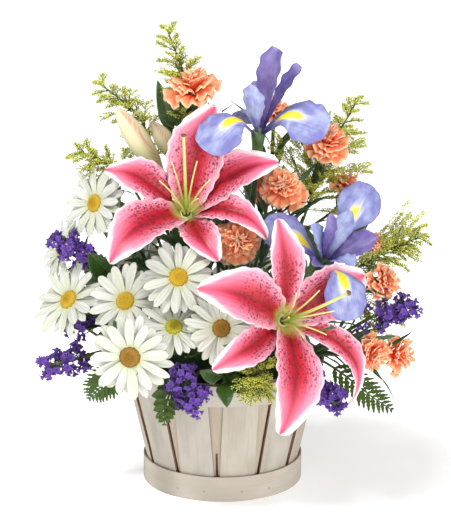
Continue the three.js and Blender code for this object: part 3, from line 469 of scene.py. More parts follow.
def bud_look():
    """Lily buds: cream and pale green with a pinkish brown flush along the ribs."""
    look = Look("lily_bud", 0.42, soft=0.15, soft_colour=(1, 0.8, 0.5))
    streaks = look.streaks(0.04, 0.5, 3)
    ribs = look.calc("COSINE", look.times(look.s, math.pi * 3))
    look.shade(look.step(look.t, 0.1, 0.9), (184, 192, 122), (216, 200, 172))
    look.over(look.times(look.step(ribs, 0.2, 1), look.step(streaks, 0.3, 0.7, 0, 0.75)), 190, 130, 112)
    look.over(look.step(look.t, 0.06, 0.28, 0.8, 0), 150, 168, 84)
    look.bump(streaks, 0.6, 0.5)
    return look.done()


def iris_petal(name, pale, deep, base, signal=False):
    """An iris petal: veined, deeper towards its edge and its base. A fall has a yellow signal."""
    look = Look(name, 0.42, soft=0.3, soft_colour=(0.6, 0.6, 1))
    veins = look.streaks(0.04, 0.8, 3, 0.8)
    look.shade(look.step(look.streaks(0.08, 0.1, 3), 0.3, 0.7), pale, deep)
    look.over(look.step(look.calc("ABSOLUTE", look.s), 0.5, 1, 0, 0.6), *deep)
    look.over(look.step(veins, 0.5, 0.66, 0, 0.2), *base)
    look.over(look.step(look.t, 0.05, 0.45, 0.9, 0), *base)
    if signal:
        away = look.times(look.less(look.t, 0.55), 4.4)
        wide = look.times(look.s, 2.9)
        reach = look.calc("SQRT", look.plus(look.times(away, away), look.times(wide, wide)))
        reach = look.plus(reach, look.times(look.less(veins, 0.5), 0.8))
        look.over(look.times(look.step(reach, 0.8, 1.3, 0.6, 0), look.front), 214, 218, 238)
        look.over(look.times(look.step(reach, 0.55, 0.95, 1, 0), look.front), 246, 212, 20)
    look.bump(veins, 0.7, 0.5)
    return look.done()


def carnation_look():
    """Carnation petals: salmon, deeper towards their bases, partly their own colour and partly painted shade
    in the folds, with pale frayed edges.
    """
    look = Look("carnation_petal", 0.6, soft=0.6, soft_colour=(1, 0.4, 0.25))
    # Deeper red-orange towards the petal bases: partly the petals' own colour, partly painted shade in the
    # folds.
    look.shade(look.step(look.t, 0.2, 0.85), (252, 66, 26), (255, 146, 98))
    look.over(look.step(look.streaks(0.1, 0.25, 3), 0.45, 0.75, 0, 0.3), 255, 112, 62)
    look.over(look.step(look.t, 0.84, 1, 0, 0.7), 255, 212, 180)
    look.over(look.step(look.tone, 0, 1, 0, 0.25), 255, 176, 132)
    look.bump(look.streaks(0.05, 1.2, 2), 0.5, 0.5)
    return look.done()


def daisy_petal_look():
    """Daisy petals: white, with painted grey-green shade in long streaks, greenish cream near the disc and
    long shallow grooves.
    """
    look = Look("daisy_petal", 0.5, soft=0.2, soft_colour=(0.9, 1, 0.8))
    streaks = look.streaks(0.03, 0.9, 3)
    # Painted shade: long grey-green streaks over the white.
    look.shade(look.step(streaks, 0.35, 0.7), (214, 215, 208), (184, 187, 172))
    look.over(look.step(look.t, 0, 0.45, 0.85, 0), 180, 188, 130)
    look.over(look.step(look.tone, 0.3, 1, 0, 0.5), 196, 200, 174)
    look.bump(streaks, 0.8, 0.6)
    return look.done()


def disc_look(name, rim, middle):
    """The daisy's disc: florets from its rim colour to its middle colour. t is the share outward."""
    look = Look(name, 0.65)
    grains = look.body_noise(1500)
    look.shade(look.step(look.t, 0.25, 0.75), middle, rim)
    look.over(look.times(look.tone, 0.3), 232, 190, 40)
    look.over(look.step(grains, 0.4, 0.7, 0, 0.3), 150, 108, 14)
    look.bump(grains, 0.3, 0.6)
    return look.done()


def statice_look():
    """Statice calyxes: papery violet, darker in the throat, with paler frills."""
    look = Look("statice_calyx", 0.62, soft=0.1, soft_colour=(0.5, 0.3, 1), sheen=0.15)
    folds = look.streaks(0.2, 1.6, 2)
    look.shade(look.step(look.t, 0.1, 1), (62, 26, 112), (118, 66, 186))
    look.over(look.times(look.tone, 0.5), 74, 32, 150)
    look.over(look.step(folds, 0.5, 0.7, 0, 0.4), 140, 100, 214)
    look.bump(folds, 0.5, 0.6)
    return look.done()


def speckled(name, roughness, scale, low, high, reach=(0.3, 0.7), detail=3.0, over=None, bump=None):
    """A plain look: two colours in fine grains, sometimes with wide patches of a third, and a grainy bump."""
    look = Look(name, roughness)
    grains = look.body_noise(scale, detail)
    look.shade(look.step(grains, *reach), low, high)
    if over:
        look.over(look.step(look.body_noise(60), 0.4, 0.7, 0, 0.4), *over)
    if bump:
        look.bump(grains, *bump)
    return look.done()


def goldenrod_look():
    """Goldenrod florets: yellow green, some more golden than others."""
    look = Look("goldenrod_floret", 0.7, soft=0.1, soft_colour=(0.8, 1, 0.3))
    grains = look.body_noise(1400)
    look.shade(look.tone, (156, 172, 46), (230, 226, 108))
    look.over(look.step(grains, 0.35, 0.7, 0, 0.4), 190, 192, 60)
    look.bump(grains, 0.4, 0.7)
    return look.done()


def leaf_look(name, dark, light, rib_colour, roughness=0.38, ribs=0.34, coat=0.15):
    """Leaves: a pale midrib, slanting side veins and uneven green."""
    look = Look(name, roughness, soft=0.08, soft_colour=(0.4, 1, 0.2), coat=coat)
    cloud = look.streaks(0.07, 0.12, 4)
    slant = look.less(look.run, look.times(look.calc("ABSOLUTE", look.aside), 0.9))
    side = look.step(look.calc("SINE", look.times(slant, TURN * ribs / 2)), 0.86, 1)
    rib = look.step(look.calc("ABSOLUTE", look.s), 0.03, 0.1, 1, 0)
    look.shade(look.step(cloud, 0.25, 0.75), dark, light)
    look.over(look.times(look.tone, 0.5), *light)
    look.over(look.times(side, 0.3), *rib_colour)
    look.over(look.times(rib, 0.7), *rib_colour)
    look.behind(0.55, light, rib_colour)
    look.bump(look.less(look.times(cloud, 0.5), look.calc("MAXIMUM", side, rib)), 0.7, 0.6)
    return look.done()


def stem_look(name, pale, deep):
    """Green stems with long ridges and scattered darker places."""
    look = Look(name, 0.5)
    ridges = look.streaks(0.04, 1.4, 2)
    look.shade(look.step(look.streaks(0.06, 0.06, 4), 0.3, 0.7), deep, pale)
    look.over(look.step(ridges, 0.5, 0.65, 0, 0.35), *pale)
    look.bump(ridges, 0.4, 0.5)
    return look.done()


def liner_look():
    """The liner's brown film, with a slightly uneven sheen."""
    look = Look("liner_film", 0.4)
    look.shade(look.step(look.body_noise(40), 0.3, 0.7), (176, 124, 92), (204, 150, 116))
    look.bump(look.body_noise(160, 2.0), 0.8, 0.4)
    return look.done()


def wood_look(name, tan=0.0, wash_and_shade=None, raw=((112, 70, 48), (150, 104, 76))):
    """Whitewashed veneer: long fine grain under a thin wash, with brown raw edges."""
    look = Look(name, 0.72)
    grain = look.streaks(0.02, 0.55, 6, distortion=0.4)
    fine = look.streaks(0.05, 2.4, 4)
    look.shade(look.step(look.streaks(0.02, 0.05, 3), 0.3, 0.7), (180, 174, 163), (163, 156, 144))
    look.over(look.step(grain, 0.48, 0.72, 0, 0.5), 158, 145, 128)
    look.over(look.step(fine, 0.55, 0.75, 0, 0.25), 146, 132, 114)
    look.over(look.plus(look.times(look.tone, 0.35), tan), 176, 158, 134)
    # One more coat: a whiter wash on the hoops, and on the inner veneer a brown tint that is partly rawer
    # wood and partly painted shade.
    if wash_and_shade:
        look.over(*wash_and_shade)
    look.behind(look.step(fine, 0.35, 0.7), *raw)
    look.bump(look.plus(grain, look.times(fine, 0.5)), 0.5, 0.45)
    return look.done()


def plain_wood_look():
    """The base disc's wood, which only shows from below."""
    look = Look("base_disc_wood", 0.75)
    x, y, z = look.split(look.make("ShaderNodeTexCoord").outputs["Object"])
    grain = look.noise(look.join(look.times(x, 30.0), look.times(y, 600.0), z), 1.0, 5.0)
    look.shade(look.step(grain, 0.35, 0.7), (206, 190, 168), (172, 148, 122))
    look.bump(grain, 0.4, 0.5)
    return look.done()


# Petals and leaves.


def petal(rows, cols, around, length, width, lean, start=0, rise=0, cup=0, wave=0, twist=0, veer=0,
          trim=None):
    """The points of a petal, in its bloom's frame, with the form that its CAD petal has.

    lean(t) is the angle in degrees between its midline and the bloom's axis, twist is how far the
    blade has turned about its midline at the tip, and veer how far the tip has swung round. trim(t, s)
    gives a finer lift, in millimetres, and the share by which the edge is drawn in.
    """
    parts = 240
    angles = np.radians(lean((np.arange(parts) + 0.5) / parts))
    knots = np.linspace(0, 1, parts + 1)
    out = start + np.concatenate([[0], np.cumsum(np.sin(angles)) * length / parts])
    up = rise + np.concatenate([[0], np.cumsum(np.cos(angles)) * length / parts])
    t, s = petal_grid(rows, cols)
    more, drawn = trim(t, s) if trim else (0, 0)
    lift = cup * width(t) / 2 * s**2 + wave * np.sin(2 * TURN * t + (s > 0)) * s**2 + more
    across = s * width(t) / 2 * (1 - drawn)
    roll = radians(twist) * t
    lift = lift + across * np.sin(roll)
    angle = np.radians(lean(t))
    x = np.interp(t, knots, out) - lift * np.cos(angle)
    y = across * np.cos(roll)
    z = np.interp(t, knots, up) + lift * np.sin(angle)
    turn = radians(around) + radians(veer) * t * t
    return np.stack([x * np.cos(turn) - y * np.sin(turn), x * np.sin(turn) + y * np.cos(turn), z], axis=2)


def blade(foot, way, look_up, ahead, aside, lift):
    """A leaf's points, from how far each lies along a way, to its side and off the face that it shows."""
    face = (look_up - way * look_up.dot(way)).normalized()
    across = way.cross(face).normalized()
    points = np.array(foot)
    for far, axis in ((ahead, way), (aside, across), (lift, face)):
        points = points + far[..., None] * np.array(axis)
    return points


def leaf_blade(shape, foot, way, look_up, size, width, look, tone, rows=22, cols=10):
    """A leaf with a folded midrib and a rippled edge."""
    t, s = petal_grid(rows, cols)
    half = outline(1.4, width, 0.42, 0.5)(t) / 2
    ripple = 0.6 * np.sin(3 * TURN * t + tone * TURN + (s > 0)) * s**2 * np.sin(math.pi * t)
    lift = 0.264 * size * t * (1 - t) + 0.32 * half * np.abs(s) ** 1.3 + ripple
    points = blade(foot, way, look_up, t * size, s * half, lift)
    shape.sheet(points, 0.55 - 0.25 * np.abs(s), look, tone, size, half * 2)


def narrow_leaves(shape, line, look, draw, count, size, width, first=0.42, last=0.9):
    """Pointed leaves that climb a stem in a spiral."""
    for k in range(count):
        share = mix(first, last, k / (count - 1))
        ahead = heading(line, share)
        way = (ahead * 1.1 + beside(ahead, k * 2.4 + draw.random())).normalized()
        leaf_blade(shape, along(line, share), way, ahead, size * (0.8 + 0.4 * draw.random()), width, look,
                   draw.random(), rows=12, cols=4)


def lobed_leaves(shape, line, look, draw, count):
    """Small lobed leaves low on a daisy's stem."""
    t, s = petal_grid(16, 4)
    half = outline(2, 20, 0.55, 1)(t) / 2 * (0.72 + 0.38 * np.abs(np.sin(3.2 * math.pi * t)))
    lift = 2.5 * np.sin(math.pi * t) + 0.3 * np.abs(s) * half
    for k in range(count):
        share = mix(0.45, 0.8, k / (count - 1))
        ahead = heading(line, share)
        way = (ahead + beside(ahead, k * 2.4 + draw.random())).normalized()
        size = 38 * (0.8 + 0.4 * draw.random())
        points = blade(along(line, share), way, ahead, t * size, s * half, lift)
        shape.sheet(points, 0.45, look, draw.random(), size, half * 2)


def leaflet(shape, foot, way, look_up, size, width, look, tone, cut):
    """One leaflet. cut is how deep its edge is cut into lobes, as a share of its width."""
    t, s = petal_grid(20, 4)
    lobes = 1 - cut + cut * np.abs(np.sin(5 * math.pi * t)) ** 0.7
    half = outline(1.0, width, 0.3 if cut else 0.5, 0.4)(t) / 2 * lobes
    points = blade(foot, way, look_up, t * size, s * half, 0.25 * half * np.abs(s) - 0.08 * size * t**2)
    points[..., 2] += 0.036 * size * t**2
    shape.sheet(points, 0.35, look, tone, size, half * 2)


# Stems. These follow the CAD's own search, so that each stands in its hole in the foam.

laid = []  # straight runs of the stems laid so far: start, end and radius
heads = []  # middles and radii of the blooms, which stems go round


def stem_line(direction, end, away, steps):
    surface = FOAM_CENTRE + direction * (FOAM_RADIUS + 8)
    reach = (surface - end).length
    leave = surface + direction * (reach * 0.35)
    meet = end + away * (reach * 0.3)
    line = [FOAM_CENTRE + direction * STEM_DEPTH_RADIUS]
    for i in range(steps + 1):
        line.append(cubic(surface, leave, meet, end, i / steps))
    return line


def keep(line, radius):
    for a, b in zip(line, line[1:]):
        laid.append((*a, *b, radius))


def apart(a, b, starts, ends):
    """The least distances between the straight run a-b and each of the runs starts-ends."""
    u = b - a
    v = ends - starts
    w = a - starts
    uu = float(u @ u) or 1e-9
    uv = v @ u
    vv = np.maximum(np.einsum("ij,ij->i", v, v), 1e-9)
    uw = w @ u
    vw = np.einsum("ij,ij->i", v, w)
    flat = uu * vv - uv * uv
    safe = np.where(flat > 1e-9, flat, 1)
    s = np.where(flat > 1e-9, np.clip((uv * vw - vv * uw) / safe, 0, 1), 0)
    t = np.clip((vw + uv * s) / vv, 0, 1)
    s = np.clip((uv * t - uw) / uu, 0, 1)
    return np.linalg.norm(a + s[:, None] * u - starts - t[:, None] * v, axis=1)


def trouble(line, radius):
    """How badly a line runs into the rim, other stems or blooms. 0 is free."""
    cost = 0
    points = np.array([tuple(p) for p in line])
    runs = np.array(laid) if laid else np.zeros((0, 7))
    middles = np.array([tuple(middle) for middle, _ in heads])
    sizes = np.array([size for _, size in heads])
    own = np.linalg.norm(middles - points[-1], axis=1) < sizes + 14
    for a, b in zip(points, points[1:]):
        for share in (0.2, 0.4, 0.6, 0.8, 1):
            p = a + (b - a) * share
            if 78 < math.hypot(p[0], p[1]) < 100 and p[2] < RIM_HEIGHT + 2.5 + radius:
                cost += 40
        if len(runs):
            cost += 20 * int(np.sum(apart(a, b, runs[:, :3], runs[:, 3:6]) < radius + runs[:, 6] + 1))
        near = apart(a, b, middles, middles) < sizes + radius
        cost += 3 * int(np.sum(near & ~own))
    return cost


def lay_stem(end, away, radius, segments=4):
    ideal = (end - FOAM_CENTRE).normalized()
    best_cost, best = None, None
    for swing in (0, 5, 10, 15, 20, 26, 32):
        for k in range(12 if swing else 1):
            side = Vector((1, 0, 0)) if abs(ideal.z) > 0.95 else UP
            hinge = turned_about(ideal.cross(side).normalized(), ideal, k / 12 * TURN)
            direction = turned_about(ideal, hinge, radians(swing))
            level = math.hypot(direction.x, direction.y)
            if math.atan2(direction.z, level) < radians(LOWEST_STEM):
                direction.z = level * math.tan(radians(LOWEST_STEM))
                direction.normalize()
            cost = trouble(stem_line(direction, end, away, segments), radius) + swing * 0.1
            if best is None or cost < best_cost:
                best_cost, best = cost, direction
        if best_cost < 3:
            break
    line = stem_line(best, end, away, segments)
    keep(line, radius)
    return line


def bloom_stem(shape, at, facing, radius, top, look, sides):
    """Draws a bloom's stem. top has the thicker places below the bloom: (how far back, radius)."""
    away = -unit(facing)
    end = Vector(at) + away * top[-1][0]
    line = lay_stem(end, away, radius, 3 if (end - FOAM_CENTRE).length < 160 else 4)
    thick = [(Vector(at) + away * back, wide) for back, wide in reversed(top)]
    keep([p for p, _ in thick], max(wide for _, wide in thick))
    smooth = smooth_line(line)[:-1]
    radii = [radius] * len(smooth) + [wide for _, wide in thick]
    shape.tube(smooth + [p for p, _ in thick], radii, look, sides)
    return line


# Florets and beads.


def ring_point(place, way, up, wide, turn):
    """A point at a height along a way and off it to one side."""
    side = way.orthogonal().normalized()
    third = way.cross(side)
    return place + way * up + (side * math.cos(turn) + third * math.sin(turn)) * wide


def bead(shape, place, way, radius, height, look, share, tone, axes=None, sides=5):
    """A floret or nail head: a closed drop of few faces."""
    rings = [(0.0, 0.75), (0.45, 1.0), (0.85, 0.6)]
    points = []
    for up, wide in rings:
        points += [ring_point(place, way, height * up, radius * wide, k / sides * TURN) for k in range(sides)]
    points.append(place + way * height)
    count = len(points)
    faces = drop_faces(len(rings), sides)
    shape.add(points, faces, look, [(share, 0, tone)] * count, [(0, 0, 1)] * count, axes)


# Lilies.

TEPAL_LENGTH = 118
WIDE_TEPAL = 40


def lily(name, seed, at, facing, sweep, tepals):
    draw = random.Random(seed)
    axes = frame_of(at, facing)
    shape = Shape()
    petals, filaments, pistil, green, leaves = range(5)
    rows, cols = 44, 20
    t, s = petal_grid(rows, cols)
    for around, widest, size, first, last, veer in tepals:
        length = TEPAL_LENGTH * size
        wide = widest > WIDE_TEPAL
        width = outline(0.3 * widest, widest, 0.56, 3, full=True)
        phase = draw.random() * TURN

        def trim(t, s):
            groove = -1.5 * np.exp(-((s / 0.13) ** 2)) * np.sin(math.pi * np.clip(t * 1.05, 0, 1)) ** 0.5
            frill = 1.1 * np.sin(7 * TURN * t + phase + 1.3 * (s > 0)) * np.abs(s) ** 4
            ridges = 0.22 * np.cos(s * 16) * (1 - s**2)
            fade = np.sin(math.pi * t) ** 0.6
            nibbled = 0.035 * (1 + np.sin(9 * TURN * t + phase + 2 * (s > 0))) * np.abs(s) ** 3 * fade
            pointed = 0.36 * np.clip((t - 0.66) / 0.3, 0, 1) ** 1.4
            return groove + ridges + frill * fade, nibbled + pointed

        points = petal(rows, cols, around, length, width, lambda t: mix(first, last, t**1.35),
                       start=4.6 if wide else 5.6, rise=0.9 if wide else 0, cup=0.28 if wide else 0.22,
                       wave=2.2 if wide else 1.2, veer=veer, trim=trim)
        shape.sheet(points, 1.0 - 0.55 * np.abs(s) ** 2, petals, draw.random(), length, width(t), axes)

    def curved(around, off, length, first, last, steps=14):
        points = [Vector((off, 0, 3))]
        for i in range(1, steps + 1):
            angle = radians(mix(first, last, i / steps))
            points.append(points[-1] + Vector((math.sin(angle), 0, math.cos(angle))) * (length / steps))
        return [turned_about(p, UP, radians(around)) for p in points]

    for k in range(6):
        line = curved(sweep + 30 + k * 60, 2.4, 60, 8, 30)
        shape.tube(line, np.linspace(1.15, 0.55, len(line)), filaments, 8, draw.random(), axes)
    line = curved(sweep, 0, 92, 2, 26, 18)
    radii = [2.3 if i < 4 else mix(1.6, 1.25, i / 18) for i in range(len(line))]
    tip = line[-1] - line[-2]
    line += [line[-1] + tip * 0.25, line[-1] + tip * 0.6, line[-1] + tip * 0.8]
    radii += [2.4, 2.6, 1.2]
    shape.tube(line, radii, pistil, 12, 0.5, axes, lobes=3, groove=0.12)
    # The hollow of the throat.
    throat = [(11.5, 5.5), (9.5, 3.4), (6.5, 2.2), (3.5, 3.0), (0.1, 4.5)]
    shape.bowl(throat, filaments, 24, 0.5, axes)
    top = [(-6, 4.2), (-0.8, 4.2), (-0.5, 9), (9, 3.6)]
    stem = bloom_stem(shape, at, facing, 3, top, green, 10)
    narrow_leaves(shape, stem, leaves, draw, count=16, size=60, width=21, first=0.36, last=0.8)
    finish_piece(f"{name}_bloom", shape, "tepal filament pistil stem leaf", "lily_flower", name)


# Irises.

HAFT_WIDTH = 17
FALL_WIDTH = 41


def iris(name, seed, at, facing, falls, standards, styles):
    draw = random.Random(seed)
    axes = frame_of(at, facing)
    shape = Shape()
    fall_look, standard_look, style_look, green = range(4)

    def ruffle(t, s, phase, drawn):
        lobes = np.sin(5 * TURN * t + phase + 2.2 * (s > 0)) * np.abs(s) ** 3
        keel = 0.9 * np.exp(-((s / 0.16) ** 2)) * (1 - t)
        narrow = drawn * (1 + np.sin(6 * TURN * t + phase)) * np.abs(s) ** 4
        return lobes * np.clip(t * 2.2 - 0.5, 0, 1) + keel, narrow

    def fall(around, haft, first, last, length, twist):
        """The haft is the share of a fall that its narrow stalk takes up."""
        phase = draw.random() * TURN
        spread = outline(HAFT_WIDTH, FALL_WIDTH, 0.5, 5, full=True)

        def width(t):
            beyond = spread(np.clip((t - haft) / (1 - haft), 0, 1))
            return np.where(t < haft, mix(4.5, HAFT_WIDTH, t / haft), beyond)

        points = petal(40, 18, around, length, width,
                       lambda t: mix(first, last, np.clip((t - haft + 0.06) / 0.3, 0, 1)), start=5.4,
                       cup=-0.18, twist=twist, trim=lambda t, s: ruffle(t, s, phase, 0.02))
        t, s = petal_grid(40, 18)
        # The haft takes up the first half of what the material reads, and the blade the second.
        shares = np.interp(t, (0, haft, 1), (0, 0.5, 1))
        shape.sheet(points, 0.9 - 0.45 * np.abs(s), fall_look, draw.random(), length, width(t), axes, shares)

    def upright(look, around, first, last, length, wide, tip, twist, start, notch):
        phase = draw.random() * TURN
        width = outline(4, wide, 0.75, tip)

        def trim(t, s):
            lift, drawn = ruffle(t, s, phase, 0.04)
            return lift, drawn + notch * np.clip((t - 0.82) / 0.18, 0, 1) * (np.abs(s) < 0.3)

        points = petal(26, 12, around, length, width, lambda t: mix(first, last, t * t), start=start,
                       rise=0.3, cup=0.35, twist=twist, trim=trim)
        t, s = petal_grid(26, 12)
        shape.sheet(points, 0.85 - 0.4 * np.abs(s), look, draw.random(), length, width(t), axes)

    for spread in falls:
        fall(*spread)
    for around, first, last, length, wide, tip, twist in standards:
        upright(standard_look, around, first, last, length, wide, tip, twist, 4, 0.0)
    for around, first, last, length, wide, twist in styles:
        upright(style_look, around, first, last, length, wide, 4, twist, 2, 0.6)
    top = [(-5, 3), (-0.8, 3), (-0.5, 7), (12, 5.5), (46, 3.4)]
    stem = bloom_stem(shape, at, facing, 2.8, top, green, 10)
    narrow_leaves(shape, stem, green, draw, count=6, size=70, width=9, first=0.35, last=0.8)
    finish_piece(f"{name}_bloom", shape, "iris_fall iris_standard iris_style iris_stem", "iris_flower", name)


# Carnations.

CARNATION_WHORLS = [
    # petals, reach and height of the edge as shares of the radius, half turn, and how flat it lies
    (5, 1.0, 0.02, 0.84, 1.0),
    (5, 0.88, 0.27, 0.8, 0.8),
    (5, 0.7, 0.48, 0.8, 0.6),
    (4, 0.48, 0.62, 0.95, 0.4),
    (4, 0.27, 0.7, 1.1, 0.25),
    (3, 0.11, 0.64, 1.4, 0.1),
]
CALYX = [(-23, 0.8), (-20, 2.4), (-17, 3.6), (-12, 4.6), (-7, 5.2), (-4, 5.6)]
CALYX_FOOT = 20 / 25


def carnation_petal(t, s, draw, radius, k, count, reach, height, half_turn, flat):
    """The points of one ruffled petal of a whorl."""
    size = radius / 25
    root = 2 * size
    around = (k + 0.5 * draw.random() + reach * 3) / count * TURN
    out = radius * reach * (0.76 + 0.28 * draw.random())
    top = radius * (height + 0.3 * (draw.random() - 0.5))
    wide = half_turn * (0.75 + 0.45 * draw.random())
    phase = draw.random() * TURN
    folds = mix(2.4, 3.6, draw.random()) * math.pi
    tilt = radius * 0.34 * (draw.random() - 0.5)
    ruffle = np.sin(s * folds + phase) + 0.35 * np.sin(s * folds * 2.3 + 2 * phase)
    ruffle = ruffle * radius * mix(0.13, 0.1, flat) * t**1.6
    corner = np.abs(s) ** 2.4 * t**2
    teeth = 0.04 * np.abs(((s * 8 + phase) % 1) - 0.5) * 2 * np.clip(t * 6 - 5, 0, 1)
    reached = t ** (1.6 - 0.5 * flat) * (1 - 0.26 * corner) * (1 - teeth)
    risen = (1 - (1 - t) ** (1.2 + flat)) * (1 - 0.2 * corner)
    r = root + (out - root) * reached + ruffle * (1.1 - flat)
    z = -5 * size + (top + 5 * size) * risen + ruffle * (0.3 + 0.8 * flat) + tilt * t * s
    z = z - radius * 0.07 * flat * t**6
    return round_points(r, around + s * wide * (0.3 + 0.7 * t) + 0.2 * ruffle / max(out, radius * 0.4), z)


def carnation_head(shape, axes, radius, seed, petals, green):
    draw = random.Random(seed)
    size = radius / 25
    t, s = petal_grid(7, 24)
    for count, *form in CARNATION_WHORLS:
        for k in range(count):
            points = carnation_petal(t, s, draw, radius, k, count, *form)
            shape.sheet(points, 0.5, petals, draw.random(), radius, radius, axes)
    shape.turned(CALYX, green, 12, 0.4, axes, size, lobes=5, groove=0.05)
    for k in range(5):
        points = petal(6, 4, (k + 0.5) * 72, 8 * size, outline(5 * size, 5 * size, 0.3, 0.6 * size),
                       lambda t: mix(8, 36, t), start=5.0 * size, rise=-6.5 * size, cup=-0.2)
        shape.sheet(points, 0.5, green, draw.random(), 8, 5, axes)


def carnation(name, seed, at, facing, radius, side=None):
    shape = Shape()
    petals, green = range(2)
    stem = bloom_stem(shape, at, facing, 1.8, [(CALYX_FOOT * radius, 1.8)], green, 8)
    carnation_head(shape, frame_of(at, facing, seed * 40), radius, seed, petals, green)
    if side:
        side_at, side_facing, side_radius, fork = side
        away = -unit(side_facing)
        end = Vector(side_at) + away * (CALYX_FOOT * side_radius)
        branch = [along(stem, fork), end + away * 12, end]
        keep(branch, 1.3)
        shape.tube(smooth_line(branch, 5), 1.4, green, 7)
        carnation_head(shape, frame_of(side_at, side_facing, 20), side_radius, seed + 50, petals, green)
    narrow_leaves(shape, stem, green, random.Random(seed), count=11, size=56, width=6)
    finish_piece(f"{name}_bloom", shape, "carnation calyx", "carnation_flower", name)


# Daisies.

DAISY_CUP = [(-6.5, 1.7), (-5, 3.2), (-3, 4.6), (-1, 5.8), (0.2, 6)]
DISC_FLORETS = 130
GOLDEN_TURN = 2.39996


def daisy(name, seed, at, facing, radius, disc="disc_gold"):
    draw = random.Random(seed)
    axes = frame_of(at, facing, seed * 23)
    shape = Shape()
    petals, florets, green, leaves = range(4)
    count = 22 + draw.randrange(4)
    rows, cols = 14, 6
    t, s = petal_grid(rows, cols)
    # The tip is blunt, with two small notches.
    notch = 0.9 * (1 + np.cos(s[-1] * 3 * math.pi)) / 2

    def trim(t, s):
        return 0.3 * np.cos(s * 3 * math.pi) * np.sin(math.pi * t), 0

    for k in range(count):
        upper = k % 2
        around = (k + 0.35 * (draw.random() - 0.5)) / count * 360
        length = radius * (0.68 + 0.2 * draw.random())
        wide = radius * (0.21 + 0.08 * draw.random())
        width = outline(wide * 0.4, wide, 0.6, wide * 0.25, full=True)
        first = (78 if upper else 88) - 8 * draw.random()
        last = (92 if upper else 102) + 22 * (draw.random() - 0.5)
        twist = 36 * (draw.random() - 0.5)
        points = petal(rows, cols, around, length, width, lambda t: mix(first, last, t**1.5),
                       start=radius * 0.17, rise=0.9 if upper else 0.1, cup=0.16 + 0.12 * draw.random(),
                       wave=0.5, twist=twist, trim=trim)
        way = points[-1] - points[-2]
        points[-1] += way / np.maximum(np.linalg.norm(way, axis=1, keepdims=True), 1e-6) * notch[:, None]
        shape.sheet(points, 0.55, petals, draw.random(), length, width(t), axes)
    disc_florets(shape, axes, radius, florets, draw)
    stem = bloom_stem(shape, at, facing, 1.7, [(3.5, 1.7)], green, 8)
    shape.turned(DAISY_CUP, green, 14, 0.5, axes, lobes=7, groove=0.06)
    lobed_leaves(shape, stem, leaves, draw, 8)
    finish_piece(f"{name}_bloom", shape, f"daisy {disc} stem leaf", "daisy_flower", name)


def disc_florets(shape, axes, radius, look, draw):
    """Florets packed in a spiral over a low dome."""
    reach, high = radius * 0.25, radius * 0.14
    dome = [(0.05, 1.02), (0.45, 1), (0.75, 0.8), (0.9, 0.45), (0.93, 0.12)]
    shape.turned([(high * up, reach * out) for up, out in dome], look, 20, 0.2, axes)
    for k in range(DISC_FLORETS):
        share = math.sqrt((k + 0.5) / DISC_FLORETS)
        turn = k * GOLDEN_TURN
        height = high * (1 - 0.75 * share**3) - 0.1 - 0.35 * math.exp(-((share / 0.3) ** 2))
        place = Vector((reach * share * math.cos(turn), reach * share * math.sin(turn), height))
        tilt = (place * share * 0.5 / reach + UP).normalized()
        size = 0.42 + 0.12 * draw.random()
        bead(shape, place, tilt, size, size * 2.1, look, share, draw.random(), axes)


# Statice.


def calyx(shape, place, way, size, look, tone, white, white_look):
    """One papery funnel with a frilled edge, and sometimes the tiny white flower in it."""
    sides = 10
    rings = [(0.0, 0.1), (0.5, 0.24), (0.85, 0.5), (1.0, 0.78)]
    points, places = [], []
    for i, (up, wide) in enumerate(rings):
        for k in range(sides):
            frill = 1 + (0.18 if k % 2 else -0.16) * i / 3
            lift = up * (1 + (0.1 if k % 2 else -0.08) * (i == 3))
            points.append(ring_point(place, way, size * lift, size * wide * frill, k / sides * TURN))
            places.append((i / 3, 2 * k / sides - 1, tone))
    points.append(place + way * (size * 0.55))
    places.append((0.1, 0, tone))
    spots = [(t * size, s * size, 1) for t, s, _ in places]
    shape.add(points, drop_faces(len(rings), sides), look, places, spots)
    if white:
        bead(shape, place + way * (size * 0.62), way, size * 0.2, size * 0.34, white_look, 1, tone)


def statice(name, seed, at, facing, spread, florets, above=None, side=None):
    draw = random.Random(seed)
    way = unit(facing)
    shape = Shape()
    purple, white, green = range(3)
    line = lay_stem(Vector(at), -way, 1.5)
    shape.tube(smooth_line(line, 5), 1.5, green, 8, lobes=3, groove=0.25)

    def cluster(top, count):
        sprigs = count * 3
        for k in range(sprigs):
            foot = along(top, mix(0.3, 1, (k + 0.5) / sprigs))
            swing = Vector((draw.random() - 0.5, draw.random() - 0.5, draw.random() - 0.5)) * 2
            out = (way * 0.5 + swing).normalized()
            tip = foot + out * (spread * (0.45 + 0.5 * draw.random()))
            shape.tube([foot, foot.lerp(tip, 0.5), tip], [0.6, 0.5, 0.4], green, 5)
            for j in range(6):
                turned = turned_about(out.orthogonal().normalized(), out, j * 2.4 + draw.random())
                place = foot.lerp(tip, 0.5 + 0.1 * j) + turned * (0.8 + 1.6 * draw.random())
                open_to = (out * 0.7 + turned * (1.0 - 0.14 * j)).normalized()
                size = 3.6 + 1.4 * draw.random()
                calyx(shape, place, open_to, size, purple, draw.random(), draw.random() < 0.07, white)

    cluster(line[-3:], florets)
    if above:
        cluster([line[-1], Vector(above)], 3)
    if side:
        branch = [along(line, 0.5), Vector(side)]
        keep(branch, 1.3)
        shape.tube(smooth_line(branch, 4), 1.2, green, 7, lobes=3, groove=0.2)
        cluster([branch[0].lerp(branch[1], 0.4), branch[1]], math.ceil(florets / 2))
    finish_piece(f"{name}_spray", shape, "statice corolla olive_stem", "statice_flower", name)


# Goldenrod.


